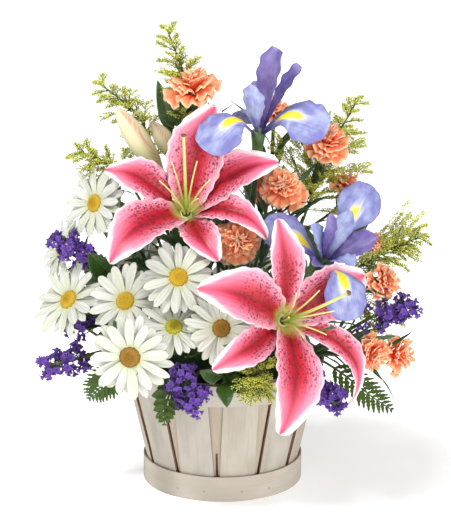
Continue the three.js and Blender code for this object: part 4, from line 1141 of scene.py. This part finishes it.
def goldenrod(name, seed, at, bow, sprigs, length, turns, low=0, twigs=()):
    draw = random.Random(seed)
    shape = Shape()
    yellow, green = range(2)
    line = lay_stem(Vector(at), -unit(bow), 1.3)
    top = line[-3:]
    used = min(1, length / (top[0] - Vector(at)).length)

    def shoot(foot, way, reach, girth, crowd=1.0):
        """One arching twig with florets round it, and shorter twigs to either side."""
        steps = (0, 0.25, 0.5, 0.75, 1)
        twig = [foot + way * (reach * d) - UP * (reach * 0.18 * d * d) for d in steps]
        shape.tube(twig, [mix(girth, 0.3, d) for d in steps], green, 4)
        plume(shape, twig, yellow, draw, int(reach * 1.5 * crowd), 2.2 * crowd)
        across = way.cross(UP).normalized()
        for n in range(4):
            root = along(twig, 0.3 + 0.16 * n)
            side = (way + across * (0.9 if n % 2 else -0.9) + UP * (0.5 * draw.random())).normalized()
            short = reach * mix(0.5, 0.3, n / 3)
            spur = [root + side * (short * d) - UP * (0.2 * short * d * d) for d in (0, 0.5, 1)]
            shape.tube(spur, [0.35, 0.3, 0.25], green, 3)
            plume(shape, spur, yellow, draw, int(short * 1.4 * crowd), 1.6 * crowd)

    for k in range(sprigs):
        share = 1 - used * (1 - (k + 0.4) / sprigs)
        ahead = heading(top, share)
        reach = mix(32, 12, k / sprigs)
        way = (beside(ahead, (k + turns.get(k, 0)) * 2.4) + ahead * 0.9).normalized()
        shoot(along(top, share), way, reach, 0.75)
        for n, size in enumerate((1.15, 1.0, 0.8)):
            spur = turned_about(way, ahead, 1.6 * (n + 1)) + ahead * (0.5 * draw.random() - 0.2)
            shoot(along(top, share + 0.025 * (n + 1)), spur.normalized(), reach * size, 0.5)
    for k in range(low):
        # Lower twigs, which show between the blooms.
        share = 0.86 - 0.07 * k
        ahead = heading(line, share)
        for n in range(3):
            shoot(along(line, share), (beside(ahead, 1.3 * k + 2.1 * n) + ahead * 0.8).normalized(), 30, 0.55)
    for share, end in twigs:
        # Long twigs that fill the gaps behind the blooms.
        foot = along(line, share)
        reach = Vector(end) - foot
        shoot(foot, reach.normalized(), reach.length, 0.5, 1.5)
        plume(shape, [foot.lerp(Vector(end), 0.55 + 0.1 * k) for k in range(5)], yellow, draw, 110, 4.0)
    plume(shape, [along(top, mix(1 - used * 0.5, 1, k / 5)) for k in range(6)], yellow, draw, 40, 2.0)
    smooth = smooth_line(line, 5)
    shape.tube(smooth, tapering(smooth, 1.4, 0.8), green, 7)
    narrow_leaves(shape, line, green, draw, count=6, size=20, width=3.2, first=0.45, last=0.85)
    finish_piece(f"{name}_spray", shape, "goldenrod olive_stem", "goldenrod_flower", name)


def tapering(line, thick, thin):
    """A radius for each point of a line, which narrows over its second half."""
    return [mix(thick, thin, max(0, i / len(line) - 0.5) * 2) for i in range(len(line))]


def grain(shape, place, way, radius, height, look, share, tone):
    """A floret too small to show more than its drop shape: a ring of four points between two ends."""
    side = way.orthogonal().normalized() * radius
    third = way.cross(side)
    middle = place + way * (height * 0.55)
    points = [place, middle + side, middle + third, middle - side, middle - third, place + way * height]
    faces = [(0, 1 + (k + 1) % 4, 1 + k) for k in range(4)] + [(5, 1 + k, 1 + (k + 1) % 4) for k in range(4)]
    shape.add(points, faces, look, [(share, 0, tone)] * 6, [(0, 0, 1)] * 6)


def plume(shape, line, look, draw, count, spread):
    """Tiny florets crowded round a twig, thickest in its middle."""
    for k in range(count):
        share = 0.12 + 0.88 * (k + draw.random()) / count
        ahead = heading(line, share)
        side = turned_about(ahead.orthogonal().normalized(), ahead, k * 2.4 + draw.random())
        off = spread * math.sin(math.pi * min(0.95, max(0.12, share))) ** 0.6 * (0.35 + 0.65 * draw.random())
        place = along(line, share) + side * off * 0.7
        out = (side + ahead * 0.8 + UP * 0.3).normalized()
        grain(shape, place, out, 0.5 + 0.35 * draw.random(), 1.9, look, share, draw.random())


# Leafy stems, ferns and buds.


def leafy_stem(name, seed, at, bow, face, size, turns, spare=()):
    draw = random.Random(seed)
    shape = Shape()
    green, stalk = range(2)
    line = lay_stem(Vector(at), -unit(bow), 1.4)
    visible = line[1:]
    face = Vector(face)
    for k, tried in enumerate(turns):
        share = mix(0.35, 0.97, k / (len(turns) - 1))
        ahead = heading(visible, share, 0.1)
        side = turned_about(ahead.cross(face).normalized(), ahead, k * 2.4 + tried * 0.8)
        last = k == len(turns) - 1
        way = (ahead * (3 if last else 0.7) + side * (0.4 * tried if last else 1)).normalized()
        look_up = face if last else ahead
        leaf_blade(shape, along(visible, share), way, look_up, size, size * 0.5, green, draw.random())
        if not last:
            # A smaller leaf grows a little above each large one.
            spur = (ahead * 0.9 + turned_about(side, ahead, 2.0)).normalized()
            leaf_blade(shape, along(visible, share + 0.11), spur, ahead, size * 0.62, size * 0.3, green,
                       draw.random())
    for foot, tip, wide in spare:
        # Loose leaves that show between the blooms.
        way = Vector(tip) - Vector(foot)
        leaf_blade(shape, Vector(foot), way.normalized(), face, way.length, wide, green, draw.random())
    shape.tube(smooth_line(line, 5), 1.4, stalk, 8)
    finish_piece(f"{name}_sprig", shape, "broad_leaf stem", "leaf", name)


def frond(name, seed, at, bow, face, size, oval=False):
    """A fern frond: leaflets cut into lobes, or plain ovals, and shorter towards the tip."""
    draw = random.Random(seed)
    shape = Shape()
    green, stalk = range(2)
    line = lay_stem(Vector(at), -unit(bow), 1.2, 6)
    rib = [p.copy() for p in line[-4:]]
    rib[0] = rib[0] - (rib[1] - rib[0]).normalized() * 3
    look_up = unit(face)
    long, wide, least, cut = (1.05, 0.62, 0, 0) if oval else (1.22, 0.22, 1.8, 0.38)
    pairs = FROND_PAIRS if oval else round(FROND_PAIRS * 1.6)
    for k in range(pairs + 1):
        share = k / pairs
        ahead = heading(rib, share)
        side = ahead.cross(look_up).normalized()
        reach = size * math.sin(math.pi * mix(0.36, 0.95, share)) * (0.92 + 0.14 * draw.random())
        for hand in (-1, 1):
            way = (side * hand + ahead * 0.8).normalized()
            leaflet(shape, along(rib, share), way, look_up, reach * long, reach * wide + least, green,
                    draw.random(), cut)
    smooth = smooth_line(line, 5)
    shape.tube(smooth, tapering(smooth, 1.3, 0.5), stalk, 7)
    finish_piece(f"{name}_frond", shape, "fern stem", "leaf", name)


BUD_SHARES = [-0.03, 0.0, 0.05, 0.12, 0.22, 0.35, 0.5, 0.62, 0.75, 0.86, 0.93, 0.97, 1.0]
BUD_RADII = [2.6, 3.4, 4.8, 6.5, 8.8, 10.5, 11.2, 11.0, 9.2, 6.6, 4.4, 3.0, 1.2]


def bud_stem(name, buds):
    shape = Shape()
    skin, green = range(2)
    buds = [(Vector(foot), Vector(tip), girth) for foot, tip, girth in buds]
    first, first_tip, _ = buds[0]
    line = lay_stem(first, (first - first_tip).normalized(), 2.6)
    shape.tube(smooth_line(line), 2.6, green, 10)
    for foot, tip, _ in buds[1:]:
        points = [along(line, 0.72), foot - (tip - foot).normalized() * 14, foot]
        shape.tube(smooth_line(points), 2.1, green, 9)
    for foot, tip, girth in buds:
        keep([foot.lerp(tip, share) for share in (-0.03, 0.12, 0.35, 0.62, 0.86, 1)], 10 * girth)
        points = smooth_line([foot.lerp(tip, share) for share in BUD_SHARES], 3)
        radii = np.interp(np.linspace(0, len(BUD_RADII) - 1, len(points)), range(len(BUD_RADII)), BUD_RADII)
        shape.tube(points, radii * girth * 0.97, skin, 36, 0.5, lobes=3, groove=0.07)
    finish_piece(f"{name}_sprig", shape, "bud stem", "lily_bud", name)


# The basket.


def stave_radius(z):
    return STAVE_RADIUS + np.maximum(0, z - KNEE_HEIGHT) * FLARE


def veneer(shape, points, thickness, tone, runs, loop=False):
    """A thin board from a grid of points. Its raw edges are marked for the brown that they show."""
    rows, cols = points.shape[0] - 1, points.shape[1] - 1
    half = normals(points, loop) * (thickness / 2)
    steps = np.linalg.norm(np.diff(points, axis=1), axis=2)
    across = np.concatenate([np.zeros((rows + 1, 1)), np.cumsum(steps, axis=1)], axis=1)
    lengths = np.repeat(runs[:, None], cols + 1, axis=1)
    s = petal_grid(rows, cols)[1]
    place = np.stack([lengths / runs[-1], s, np.full_like(s, tone)], axis=2).reshape(-1, 3)
    face = np.stack([lengths, across, np.ones_like(s)], axis=2).reshape(-1, 3)
    top, low = (points + half).reshape(-1, 3), (points - half).reshape(-1, 3)
    shape.add([top, low], board_faces(rows, cols, loop), 0, twice(place), twice(face))
    for edge in borders(rows, cols, loop):
        count = len(edge)
        faces = [(k, (k + 1) % count, (k + 1) % count + count, k + count) for k in range(count)]
        shape.add([top[edge], low[edge]], faces, 0, twice(place[edge]), twice(face[edge] * (1, 1, 0)))


def wood_strip(number):
    """One long strip: up one side, under the base and up the other side. Its ends and sides are raw."""
    draw = random.Random(number + 70)
    middle = radians(FRONT_GAP_TURN + 15 + number * 30 - 90)
    foot = STRIP_THICKNESS / 2 + number * STRIP_STEP
    bend = 5
    side = [mix(RIM_HEIGHT - 1, KNEE_HEIGHT, k / 14) for k in range(15)]
    side += [mix(KNEE_HEIGHT, foot + bend, k / 3) for k in range(1, 4)]
    half = [(stave_radius(z), z) for z in side]
    for k in range(1, 5):
        turn = k / 4 * math.pi / 2
        half.append((STAVE_RADIUS - bend * (1 - math.cos(turn)), foot + bend * (1 - math.sin(turn))))
    half += [((STAVE_RADIUS - bend) * (1 - k / 6), foot) for k in range(1, 6)]
    whole = half + [(0.0, foot)] + [(-r, z) for r, z in reversed(half)]
    steps = np.diff(whole, axis=0)
    runs = np.concatenate([[0], np.cumsum(np.hypot(steps[:, 0], steps[:, 1]))])
    cols = 10
    points = np.zeros((len(whole), cols + 1, 3))
    lean = [draw.uniform(-0.25, 0.25) for _ in range(2)]
    for i, (out, z) in enumerate(whole):
        r, way = abs(out), math.copysign(1, out)
        high = max(0, z - KNEE_HEIGHT) / (RIM_HEIGHT - KNEE_HEIGHT)
        bow = 0.12 * math.sin(z * 0.11 + number) * high
        for j in range(cols + 1):
            s = 2 * j / cols - 1
            x, y = out, s * STRIP_WIDTH / 2
            if r > STAVE_RADIUS - bend - 0.5 and z > foot + 0.01:
                turn = y / r + lean[0 if way > 0 else 1] * high / r
                x, y = way * (r + bow) * math.cos(turn), (r + bow) * math.sin(turn)
            points[i, j] = turned_about(Vector((x, y, z)), UP, middle)
    shape = Shape()
    veneer(shape, points, STRIP_THICKNESS, draw.random(), runs)
    name = f"wood_strip_{number + 1}"
    finish_piece(f"{name}_veneer", shape, "wood", "whitewashed_wood", name)


OUTSIDE_STRIPS = STRIP_THICKNESS / 2 + CLEARANCE + HOOP_SAG + HOOP_THICKNESS / 2
SLEEVE_OFFSET = -(STRIP_THICKNESS + CLEARANCE + 0.4)
INNER_HOOP_OFFSET = SLEEVE_OFFSET - STRIP_THICKNESS / 2 - CLEARANCE - TONGUE_SAG - HOOP_THICKNESS / 2
NAIL_HEIGHT = 9


def hoop(name, low, high, offset, seed, nails=0):
    """A bent hoop, slightly uneven along its edges unless the basket stands on it."""
    draw = random.Random(seed)
    phase = draw.random() * TURN
    turn, share = np.meshgrid(np.arange(144) / 144 * TURN, np.linspace(0, 1, 7), indexing="ij")
    uneven = 0.25 * np.sin(3 * turn + phase) * np.sin(math.pi * (share - 0.5)) if low > 1 else 0
    z = np.clip(mix(low, high, share) + uneven, low, high)
    shape = Shape()
    veneer(shape, round_points(stave_radius(z) + offset, turn, z), HOOP_THICKNESS, draw.random(),
           turn[:, 0] * stave_radius(high), loop=True)
    for k in range(nails):
        turn = radians(-90 - 34 + k * 23 + draw.uniform(-3, 3))
        r = STAVE_RADIUS + offset + HOOP_THICKNESS / 2
        out = Vector((math.cos(turn), math.sin(turn), 0))
        place = out * (r - 0.2) + UP * (NAIL_HEIGHT + draw.uniform(-1, 1))
        bead(shape, place, out, 0.9, 0.6, 1, 0.5, 0.5, sides=10)
    finish_piece(f"{name}_veneer", shape, "hoop_wood nail", "whitewashed_wood", name)


def inner_veneer():
    """The veneer behind the strips, cut into tongues below its top band by a slit in each gap."""
    shape = Shape()
    low, high = KNEE_HEIGHT, RIM_HEIGHT - 2
    gaps = STRIP_COUNT * 2

    def wall(turn_low, turn_high, bottom, tone):
        z, aside = np.meshgrid(np.linspace(bottom, high, 13), np.linspace(1, 0, 9), indexing="ij")
        turn = mix(turn_low(z), turn_high(z), aside)
        points = round_points(stave_radius(z) + SLEEVE_OFFSET, turn, z)
        veneer(shape, points, STRIP_THICKNESS, tone, np.linspace(0, high - bottom, 13))

    def slit(k):
        degrees = FRONT_GAP_TURN + k * 30
        side = 0 if k % 6 == 0 else (1 if math.sin(radians(degrees)) > 0 else -1)

        def turn(z, edge):
            r = stave_radius(z)
            off = side * (math.pi * r / gaps - STRIP_WIDTH / 2 - SLIT_WIDTH / 2)
            return radians(degrees - 90) + (off + edge * SLIT_WIDTH / 2) / r

        return turn

    draw = random.Random(9)
    for k in range(gaps):
        here = slit(k)
        beyond = slit((k + 1) % gaps)
        extra = TURN if k == gaps - 1 else 0
        tone = draw.random()
        wall(lambda z: here(z, 1), lambda z: beyond(z, -1) + extra, low, tone)
        wall(lambda z: here(z, -1), lambda z: here(z, 1), 98 if k else 48, tone)
    finish_piece("inner_veneer_tongues", shape, "inner_wood", "whitewashed_wood", "inner_veneer")


# The arrangement. These tables repeat the CAD's places, in millimetres.
# at is a bloom's middle or a spray's tip, facing the way that it faces and bow the way its stem ends.
# side is a side bloom or branch, and turns is how far leaves or sprigs are turned from their spiral.

LILIES = {
    "lily_upper": dict(
        at=(-33, -42, 266), facing=(0, -0.72, 0.69), sweep=92,
        # around, widest, length, first lean, last lean, veer
        tepals=[(76, 54, 0.88, 26, 96, -4), (149, 37, 0.72, 38, 114, 8), (218, 46, 0.9, 34, 124, 8),
                (287, 34, 0.62, 40, 108, 8), (346, 28, 0.78, 34, 120, -16), (28, 42, 0.84, 36, 104, -8)],
    ),
    "lily_lower": dict(
        at=(54, -95, 180), facing=(0.4, -0.85, 0.35), sweep=30,
        tepals=[(153, 50, 1, 36, 104, 8), (202, 32, 0.84, 44, 110, 0), (256, 46, 1, 34, 122, -6),
                (334, 25, 0.94, 46, 156, -30), (26, 50, 0.7, 54, 96, -4), (96, 35, 0.82, 38, 100, 0)],
    ),
}

IRISES = {
    "iris_upper": dict(
        at=(33, -25, 339), facing=(0.05, -0.35, 0.93),
        # falls: around, haft, haft lean, blade lean, length, twist
        falls=[(212, 0.36, 40, 118, 76, -30), (330, 0.36, 35, 94, 74, 60), (92, 0.36, 70, 150, 62, 0)],
        # standards: around, first lean, last lean, length, width, tip width, twist
        standards=[(30, 4, 20, 82, 30, 15, 0), (12, 20, 40, 72, 12, 7, 40), (344, 46, 110, 46, 16, 6, 0)],
        # styles: around, first lean, last lean, length, width, twist
        styles=[(226, 26, -14, 58, 25, 0), (350, 50, 56, 44, 20, 0), (96, 24, 34, 46, 17, 0)],
    ),
    "iris_lower": dict(
        at=(92, -62, 226), facing=(0.22, -0.72, 0.62),
        falls=[(148, 0.36, 45, 92, 68, 0), (50, 0.44, 46, 84, 82, 0), (274, 0.42, 34, 112, 80, 0)],
        standards=[(106, 10, 30, 60, 14, 4, 0), (4, 34, 60, 54, 24, 4, 0), (216, 30, 50, 44, 14, 4, 0)],
        styles=[(148, 20, 40, 56, 19, 0), (56, 30, 40, 56, 19, 0), (288, 18, 50, 56, 19, 0)],
    ),
}

CARNATIONS = {
    "carnation_top_left": dict(at=(-26, -10, 376), facing=(-0.08, -0.42, 0.9), radius=28),
    "carnation_top_right": dict(at=(95, -12, 325), facing=(0.2, -0.6, 0.78), radius=25,
                                side=((115, 16, 278), (0.4, -0.3, 0.87), 20, 0.55)),
    "carnation_upper_middle": dict(at=(56, -36, 288), facing=(0, -0.82, 0.57), radius=23),
    "carnation_between_lilies": dict(at=(14, -66, 246), facing=(0.02, -0.95, 0.3), radius=26),
    "carnation_behind_iris": dict(at=(48, 22, 350), facing=(0, -0.3, 0.95), radius=20),
    "carnation_right_middle": dict(at=(148, -26, 198), facing=(0.8, -0.55, 0.3), radius=22,
                                   side=((140, -2, 230), (0.78, -0.3, 0.55), 13, 0.6)),
    "carnation_right_low": dict(at=(134, -60, 142), facing=(0.55, -0.8, -0.2), radius=22),
    "carnation_far_right": dict(at=(160, -24, 128), facing=(0.9, -0.42, 0.1), radius=24),
    "carnation_back": dict(at=(44, 74, 262), facing=(0.3, 0.75, 0.6), radius=26),
}

DAISIES = {
    "daisy_upper_left": dict(at=(-117, -22, 272), facing=(-0.62, -0.72, 0.32), radius=34),
    "daisy_far_left": dict(at=(-141, -42, 185), facing=(-0.55, -0.62, 0.56), radius=37),
    "daisy_left_middle": dict(at=(-87, -80, 194), facing=(-0.25, -0.8, 0.52), radius=35),
    "daisy_centre": dict(at=(-39, -102, 222), facing=(0.08, -0.86, 0.5), radius=35),
    "daisy_front": dict(at=(-81, -132, 158), facing=(-0.12, -0.99, 0.08), radius=38, disc="disc_brown"),
    "daisy_front_green": dict(at=(-43, -110, 178), facing=(0, -0.72, 0.7), radius=31, disc="disc_green"),
    "daisy_front_right": dict(at=(-1, -118, 180), facing=(0.1, -0.95, 0.25), radius=33, disc="disc_brown"),
    "daisy_behind_left": dict(at=(-150, 4, 222), facing=(-0.82, -0.3, 0.45), radius=33),
    "daisy_back_left": dict(at=(-84, 92, 186), facing=(-0.5, 0.82, 0.3), radius=36),
    "daisy_back_right": dict(at=(18, 112, 190), facing=(0.15, 0.92, 0.35), radius=37),
}

LEAFY = {
    "leaves_left": dict(at=(-104, -24, 204), bow=(-0.7, -0.2, 0.3), face=(-0.3, -0.8, 0.5), size=48,
                        turns=(2, 2, 0, 5)),
    "leaves_right": dict(at=(112, -2, 236), bow=(0.4, -0.1, 0.8), face=(0.2, -0.9, 0.2), size=54,
                         turns=(1, 0, 0, 0)),
    "leaves_top": dict(at=(-34, 22, 346), bow=(-0.1, 0.1, 0.99), face=(0, -0.9, 0.2), size=48,
                       turns=(1, 0, 2, 0), spare=(((-46, 16, 326), (-60, 8, 382), 15),
                                                  ((-38, 14, 330), (-40, 4, 376), 14))),
    "leaves_front": dict(at=(2, -108, 126), bow=(0.1, -0.6, -0.75), face=(0, -0.9, 0.3), size=33,
                         turns=(1, 0, 1, 0)),
    "leaves_back": dict(at=(-6, 110, 130), bow=(-0.1, 0.9, -0.1), face=(0, 0.8, 0.6), size=54,
                        turns=(4, 1, 1, 0)),
}

STATICES = {
    "statice_left": dict(at=(-148, -36, 244), facing=(-0.6, -0.5, 0.4), spread=17, florets=7),
    "statice_low_left": dict(at=(-160, -50, 124), facing=(-0.9, -0.3, -0.1), spread=16, florets=6,
                             side=(-138, -24, 160)),
    "statice_front": dict(at=(-32, -120, 117), facing=(-0.1, -0.85, -0.5), spread=21, florets=7,
                          above=(-34, -112, 140)),
    "statice_right": dict(at=(172, -34, 178), facing=(0.9, -0.2, 0.2), spread=16, florets=7),
    "statice_low_right": dict(at=(100, -94, 104), facing=(0.5, -0.7, -0.4), spread=17, florets=8),
    "statice_middle": dict(at=(10, -40, 266), facing=(0.1, -0.5, 0.8), spread=14, florets=6),
}

GOLDENRODS = {
    "goldenrod_top": dict(at=(-50, 2, 428), bow=(-0.5, 0, 0.85), sprigs=7, length=100, turns={1: 1, 4: 1},
                          low=3),
    "goldenrod_upper_left": dict(at=(-112, 8, 378), bow=(-0.9, 0, 0.3), sprigs=7, length=100, turns={1: 1},
                                 low=2),
    "goldenrod_left": dict(at=(-132, -8, 318), bow=(-0.98, -0.1, 0.05), sprigs=6, length=60, turns={1: 1}),
    "goldenrod_upper_right": dict(at=(124, 6, 362), bow=(0.55, 0, 0.8), sprigs=8, length=130,
                                  turns={1: 1, 2: 1, 5: 1}, low=4,
                                  # where each leaves the stem, as a share of its length, and its tip
                                  twigs=((0.62, (30, 22, 318)), (0.66, (46, 26, 335)), (0.7, (64, 22, 338)),
                                         (0.66, (78, 18, 320)), (0.6, (56, 24, 300)),
                                         (0.74, (100, 14, 340)), (0.78, (134, 0, 330)),
                                         (0.72, (140, -2, 306)), (0.66, (138, -4, 284)),
                                         (0.6, (124, -6, 262)))),
    "goldenrod_right": dict(at=(186, 4, 234), bow=(0.95, 0, 0.25), sprigs=8, length=100, turns={2: 1}, low=3,
                            twigs=((0.5, (150, -30, 160)), (0.55, (172, -20, 166)), (0.6, (178, 0, 274)),
                                   (0.7, (192, 0, 262)))),
    "goldenrod_front": dict(at=(30, -121, 128), bow=(0.1, -0.8, -0.6), sprigs=6, length=46, turns={0: 1}),
}

FROND_PAIRS = 7
FRONDS = {
    "fern_low_left": dict(at=(-120, -96, 108), bow=(-0.6, -0.4, -0.65), face=(-0.2, -0.7, 0.7), size=20),
    "fern_front": dict(at=(-52, -118, 91), bow=(0.1, -0.3, -0.95), face=(-0.2, -0.95, 0.1), size=16,
                       oval=True),
    "fern_low_right": dict(at=(156, -62, 86), bow=(0.8, -0.2, -0.4), face=(0.2, -0.6, 0.8), size=20),
    "fern_back": dict(at=(-64, 132, 112), bow=(-0.4, 0.8, -0.4), face=(-0.3, 0.6, 0.8), size=26),
}

BUDS = [
    # foot, tip, girth
    ((-56, -14, 296), (-97, -24, 362), 1),
    ((-40, 2, 306), (-66, 4, 344), 0.85),
]


def make_looks():
    violet = (62, 44, 112)
    return {
        "tepal": tepal_look(),
        "filament": filament_look(),
        "pistil": pistil_look(),
        "bud": bud_look(),
        "iris_fall": iris_petal("iris_fall", (156, 164, 198), (112, 112, 172), (70, 54, 132), signal=True),
        "iris_standard": iris_petal("iris_standard", (134, 122, 170), (98, 82, 146), violet),
        "iris_style": iris_petal("iris_style", (172, 182, 212), (130, 134, 184), violet),
        "carnation": carnation_look(),
        "daisy": daisy_petal_look(),
        "disc_gold": disc_look("daisy_disc_gold", (208, 172, 24), (164, 130, 16)),
        "disc_brown": disc_look("daisy_disc_brown", (150, 104, 14), (84, 56, 12)),
        "disc_green": disc_look("daisy_disc_green", (206, 190, 40), (110, 130, 30)),
        "statice": statice_look(),
        "corolla": speckled("statice_corolla", 0.6, 2000, (250, 248, 252), (226, 214, 240), (0.3, 0.8)),
        "goldenrod": goldenrod_look(),
        "leaf": leaf_look("stem_leaf", (26, 48, 18), (50, 78, 30), (92, 118, 58)),
        "broad_leaf": leaf_look("broad_leaf", (16, 34, 10), (34, 58, 18), (64, 90, 38), 0.36),
        "fern": leaf_look("fern_leaflet", (26, 44, 6), (54, 76, 14), (72, 92, 26), 0.65, 0.8, 0.0),
        "stem": stem_look("green_stem", (72, 98, 42), (36, 58, 24)),
        "iris_stem": stem_look("iris_stem", (88, 118, 62), (50, 80, 38)),
        "calyx": stem_look("carnation_calyx", (78, 108, 60), (40, 64, 36)),
        "olive_stem": stem_look("olive_stem", (98, 112, 42), (56, 74, 28)),
        "wood": wood_look("whitewashed_strip"),
        "hoop_wood": wood_look("whitewashed_hoop", wash_and_shade=(0.15, 226, 220, 212),
                               raw=((156, 130, 108), (190, 168, 146))),
        # The inner veneer's brown tint and extra tan: partly its rawer wood, partly painted shade in the
        # recess behind the strips.
        "inner_wood": wood_look("inner_veneer_wood", tan=0.12, wash_and_shade=(0.16, 150, 110, 80)),
        "nail": speckled("nail_head", 0.5, 1800, (120, 112, 104), (168, 160, 150)),
        "wet_foam": speckled("wet_foam_open_cells", 0.9, 900, (20, 40, 20), (48, 82, 44), (0.35, 0.65), 6.0,
                             over=(30, 54, 28), bump=(1.2, 0.9)),
        "liner": liner_look(),
        "base_disc": plain_wood_look(),
    }


LOOKS = make_looks()


def grow():
    """Every plant, in the order in which the CAD lays their stems."""
    for table, ahead, size in ((LILIES, 8, 24), (IRISES, 6, 15), (CARNATIONS, 4, 13), (DAISIES, 4, 13)):
        for spec in table.values():
            heads.append((Vector(spec["at"]) + unit(spec["facing"]) * ahead, size))
    seeds = itertools.count(1)

    def each(kind, table):
        for name, spec in table.items():
            kind(name, next(seeds), **spec)

    each(iris, IRISES)
    each(lily, LILIES)
    bud_stem("lily_buds", BUDS)
    each(daisy, DAISIES)
    each(carnation, CARNATIONS)
    each(leafy_stem, LEAFY)
    each(statice, STATICES)
    each(goldenrod, GOLDENRODS)
    each(frond, FRONDS)


def make_basket():
    for k in range(STRIP_COUNT):
        wood_strip(k)
    inner_veneer()
    hoop("base_hoop", 0, KNEE_HEIGHT, OUTSIDE_STRIPS, 21, nails=4)
    hoop("rim_hoop_outer", RIM_HEIGHT - RIM_HOOP_WIDTH, RIM_HEIGHT, OUTSIDE_STRIPS, 22)
    hoop("rim_hoop_inner", RIM_HEIGHT - RIM_HOOP_WIDTH + 2, RIM_HEIGHT, INNER_HOOP_OFFSET, 23)
    for name in ("wet_foam", "liner", "base_disc"):
        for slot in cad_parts[name].material_slots:
            slot.material = LOOKS[name]


# The studio.


def add_object(name, data):
    made = bpy.data.objects.new(name, data)
    bpy.context.scene.collection.objects.link(made)
    return made


def make_floor():
    data = bpy.data.meshes.new("studio_floor")
    reach = 14.0
    corners = [(-reach, -reach, 0), (reach, -reach, 0), (reach, reach, 0), (-reach, reach, 0)]
    data.from_pydata(corners, [], [(0, 1, 2, 3)])
    floor = add_object("studio_floor", data)
    material = bpy.data.materials.new("studio_white")
    material.use_nodes = True
    tree = material.node_tree
    shader = tree.nodes["Principled BSDF"]
    shader.inputs["Base Color"].default_value = (0.9, 0.9, 0.9, 1)
    shader.inputs["Roughness"].default_value = 0.9
    shader.inputs["Specular IOR Level"].default_value = 0.1
    shader.inputs["Emission Color"].default_value = (1, 1, 1, 1)
    # Painted light: the floor glows, more the farther it lies from a point just right of and behind the
    # basket's middle. The far floor stays white where the lights fall off, and the shadow left of the basket
    # washes out.
    where = tree.nodes.new("ShaderNodeNewGeometry")
    far = tree.nodes.new("ShaderNodeVectorMath")
    far.operation = "DISTANCE"
    far.inputs[1].default_value = (0.07, 0.04, 0)
    glow = tree.nodes.new("ShaderNodeMapRange")
    for key, value in (("From Min", 0.13), ("From Max", 0.27), ("To Min", 0.28), ("To Max", 0.8)):
        glow.inputs[key].default_value = value
    tree.links.new(where.outputs["Position"], far.inputs[0])
    tree.links.new(far.outputs["Value"], glow.inputs["Value"])
    tree.links.new(glow.outputs["Result"], shader.inputs["Emission Strength"])
    data.materials.append(material)


def add_light(name, place, aim, size, power):
    data = bpy.data.lights.new(name, "AREA")
    data.shape = "DISK"
    data.size = size
    data.energy = power
    light = add_object(name, data)
    light.location = place
    light.rotation_euler = (Vector(aim) - Vector(place)).to_track_quat("-Z", "Y").to_euler()


def make_studio():
    make_floor()
    world = bpy.data.worlds.new("studio_world")
    world.use_nodes = True
    background = world.node_tree.nodes["Background"]
    background.inputs["Color"].default_value = (1, 1, 1, 1)
    background.inputs["Strength"].default_value = 0.5
    bpy.context.scene.world = world
    add_light("key", (-1.2, -0.8, 2.1), (0, 0, 0.2), 0.45, 36)
    add_light("fill", (1.4, -2.3, 0.9), (0, 0, 0.2), 3.0, 66)
    bpy.context.scene.view_settings.view_transform = "Standard"


def make_camera():
    data = bpy.data.cameras.new("photo_camera")
    data.lens = 130
    data.sensor_width = 36
    camera = add_object("photo_camera", data)
    camera.location = (0.0029, -1.6973, 0.6346)
    camera.rotation_euler = (radians(90 - 13.86), 0, 0)
    bpy.context.scene.camera = camera


make_camera()
make_studio()
make_basket()
grow()
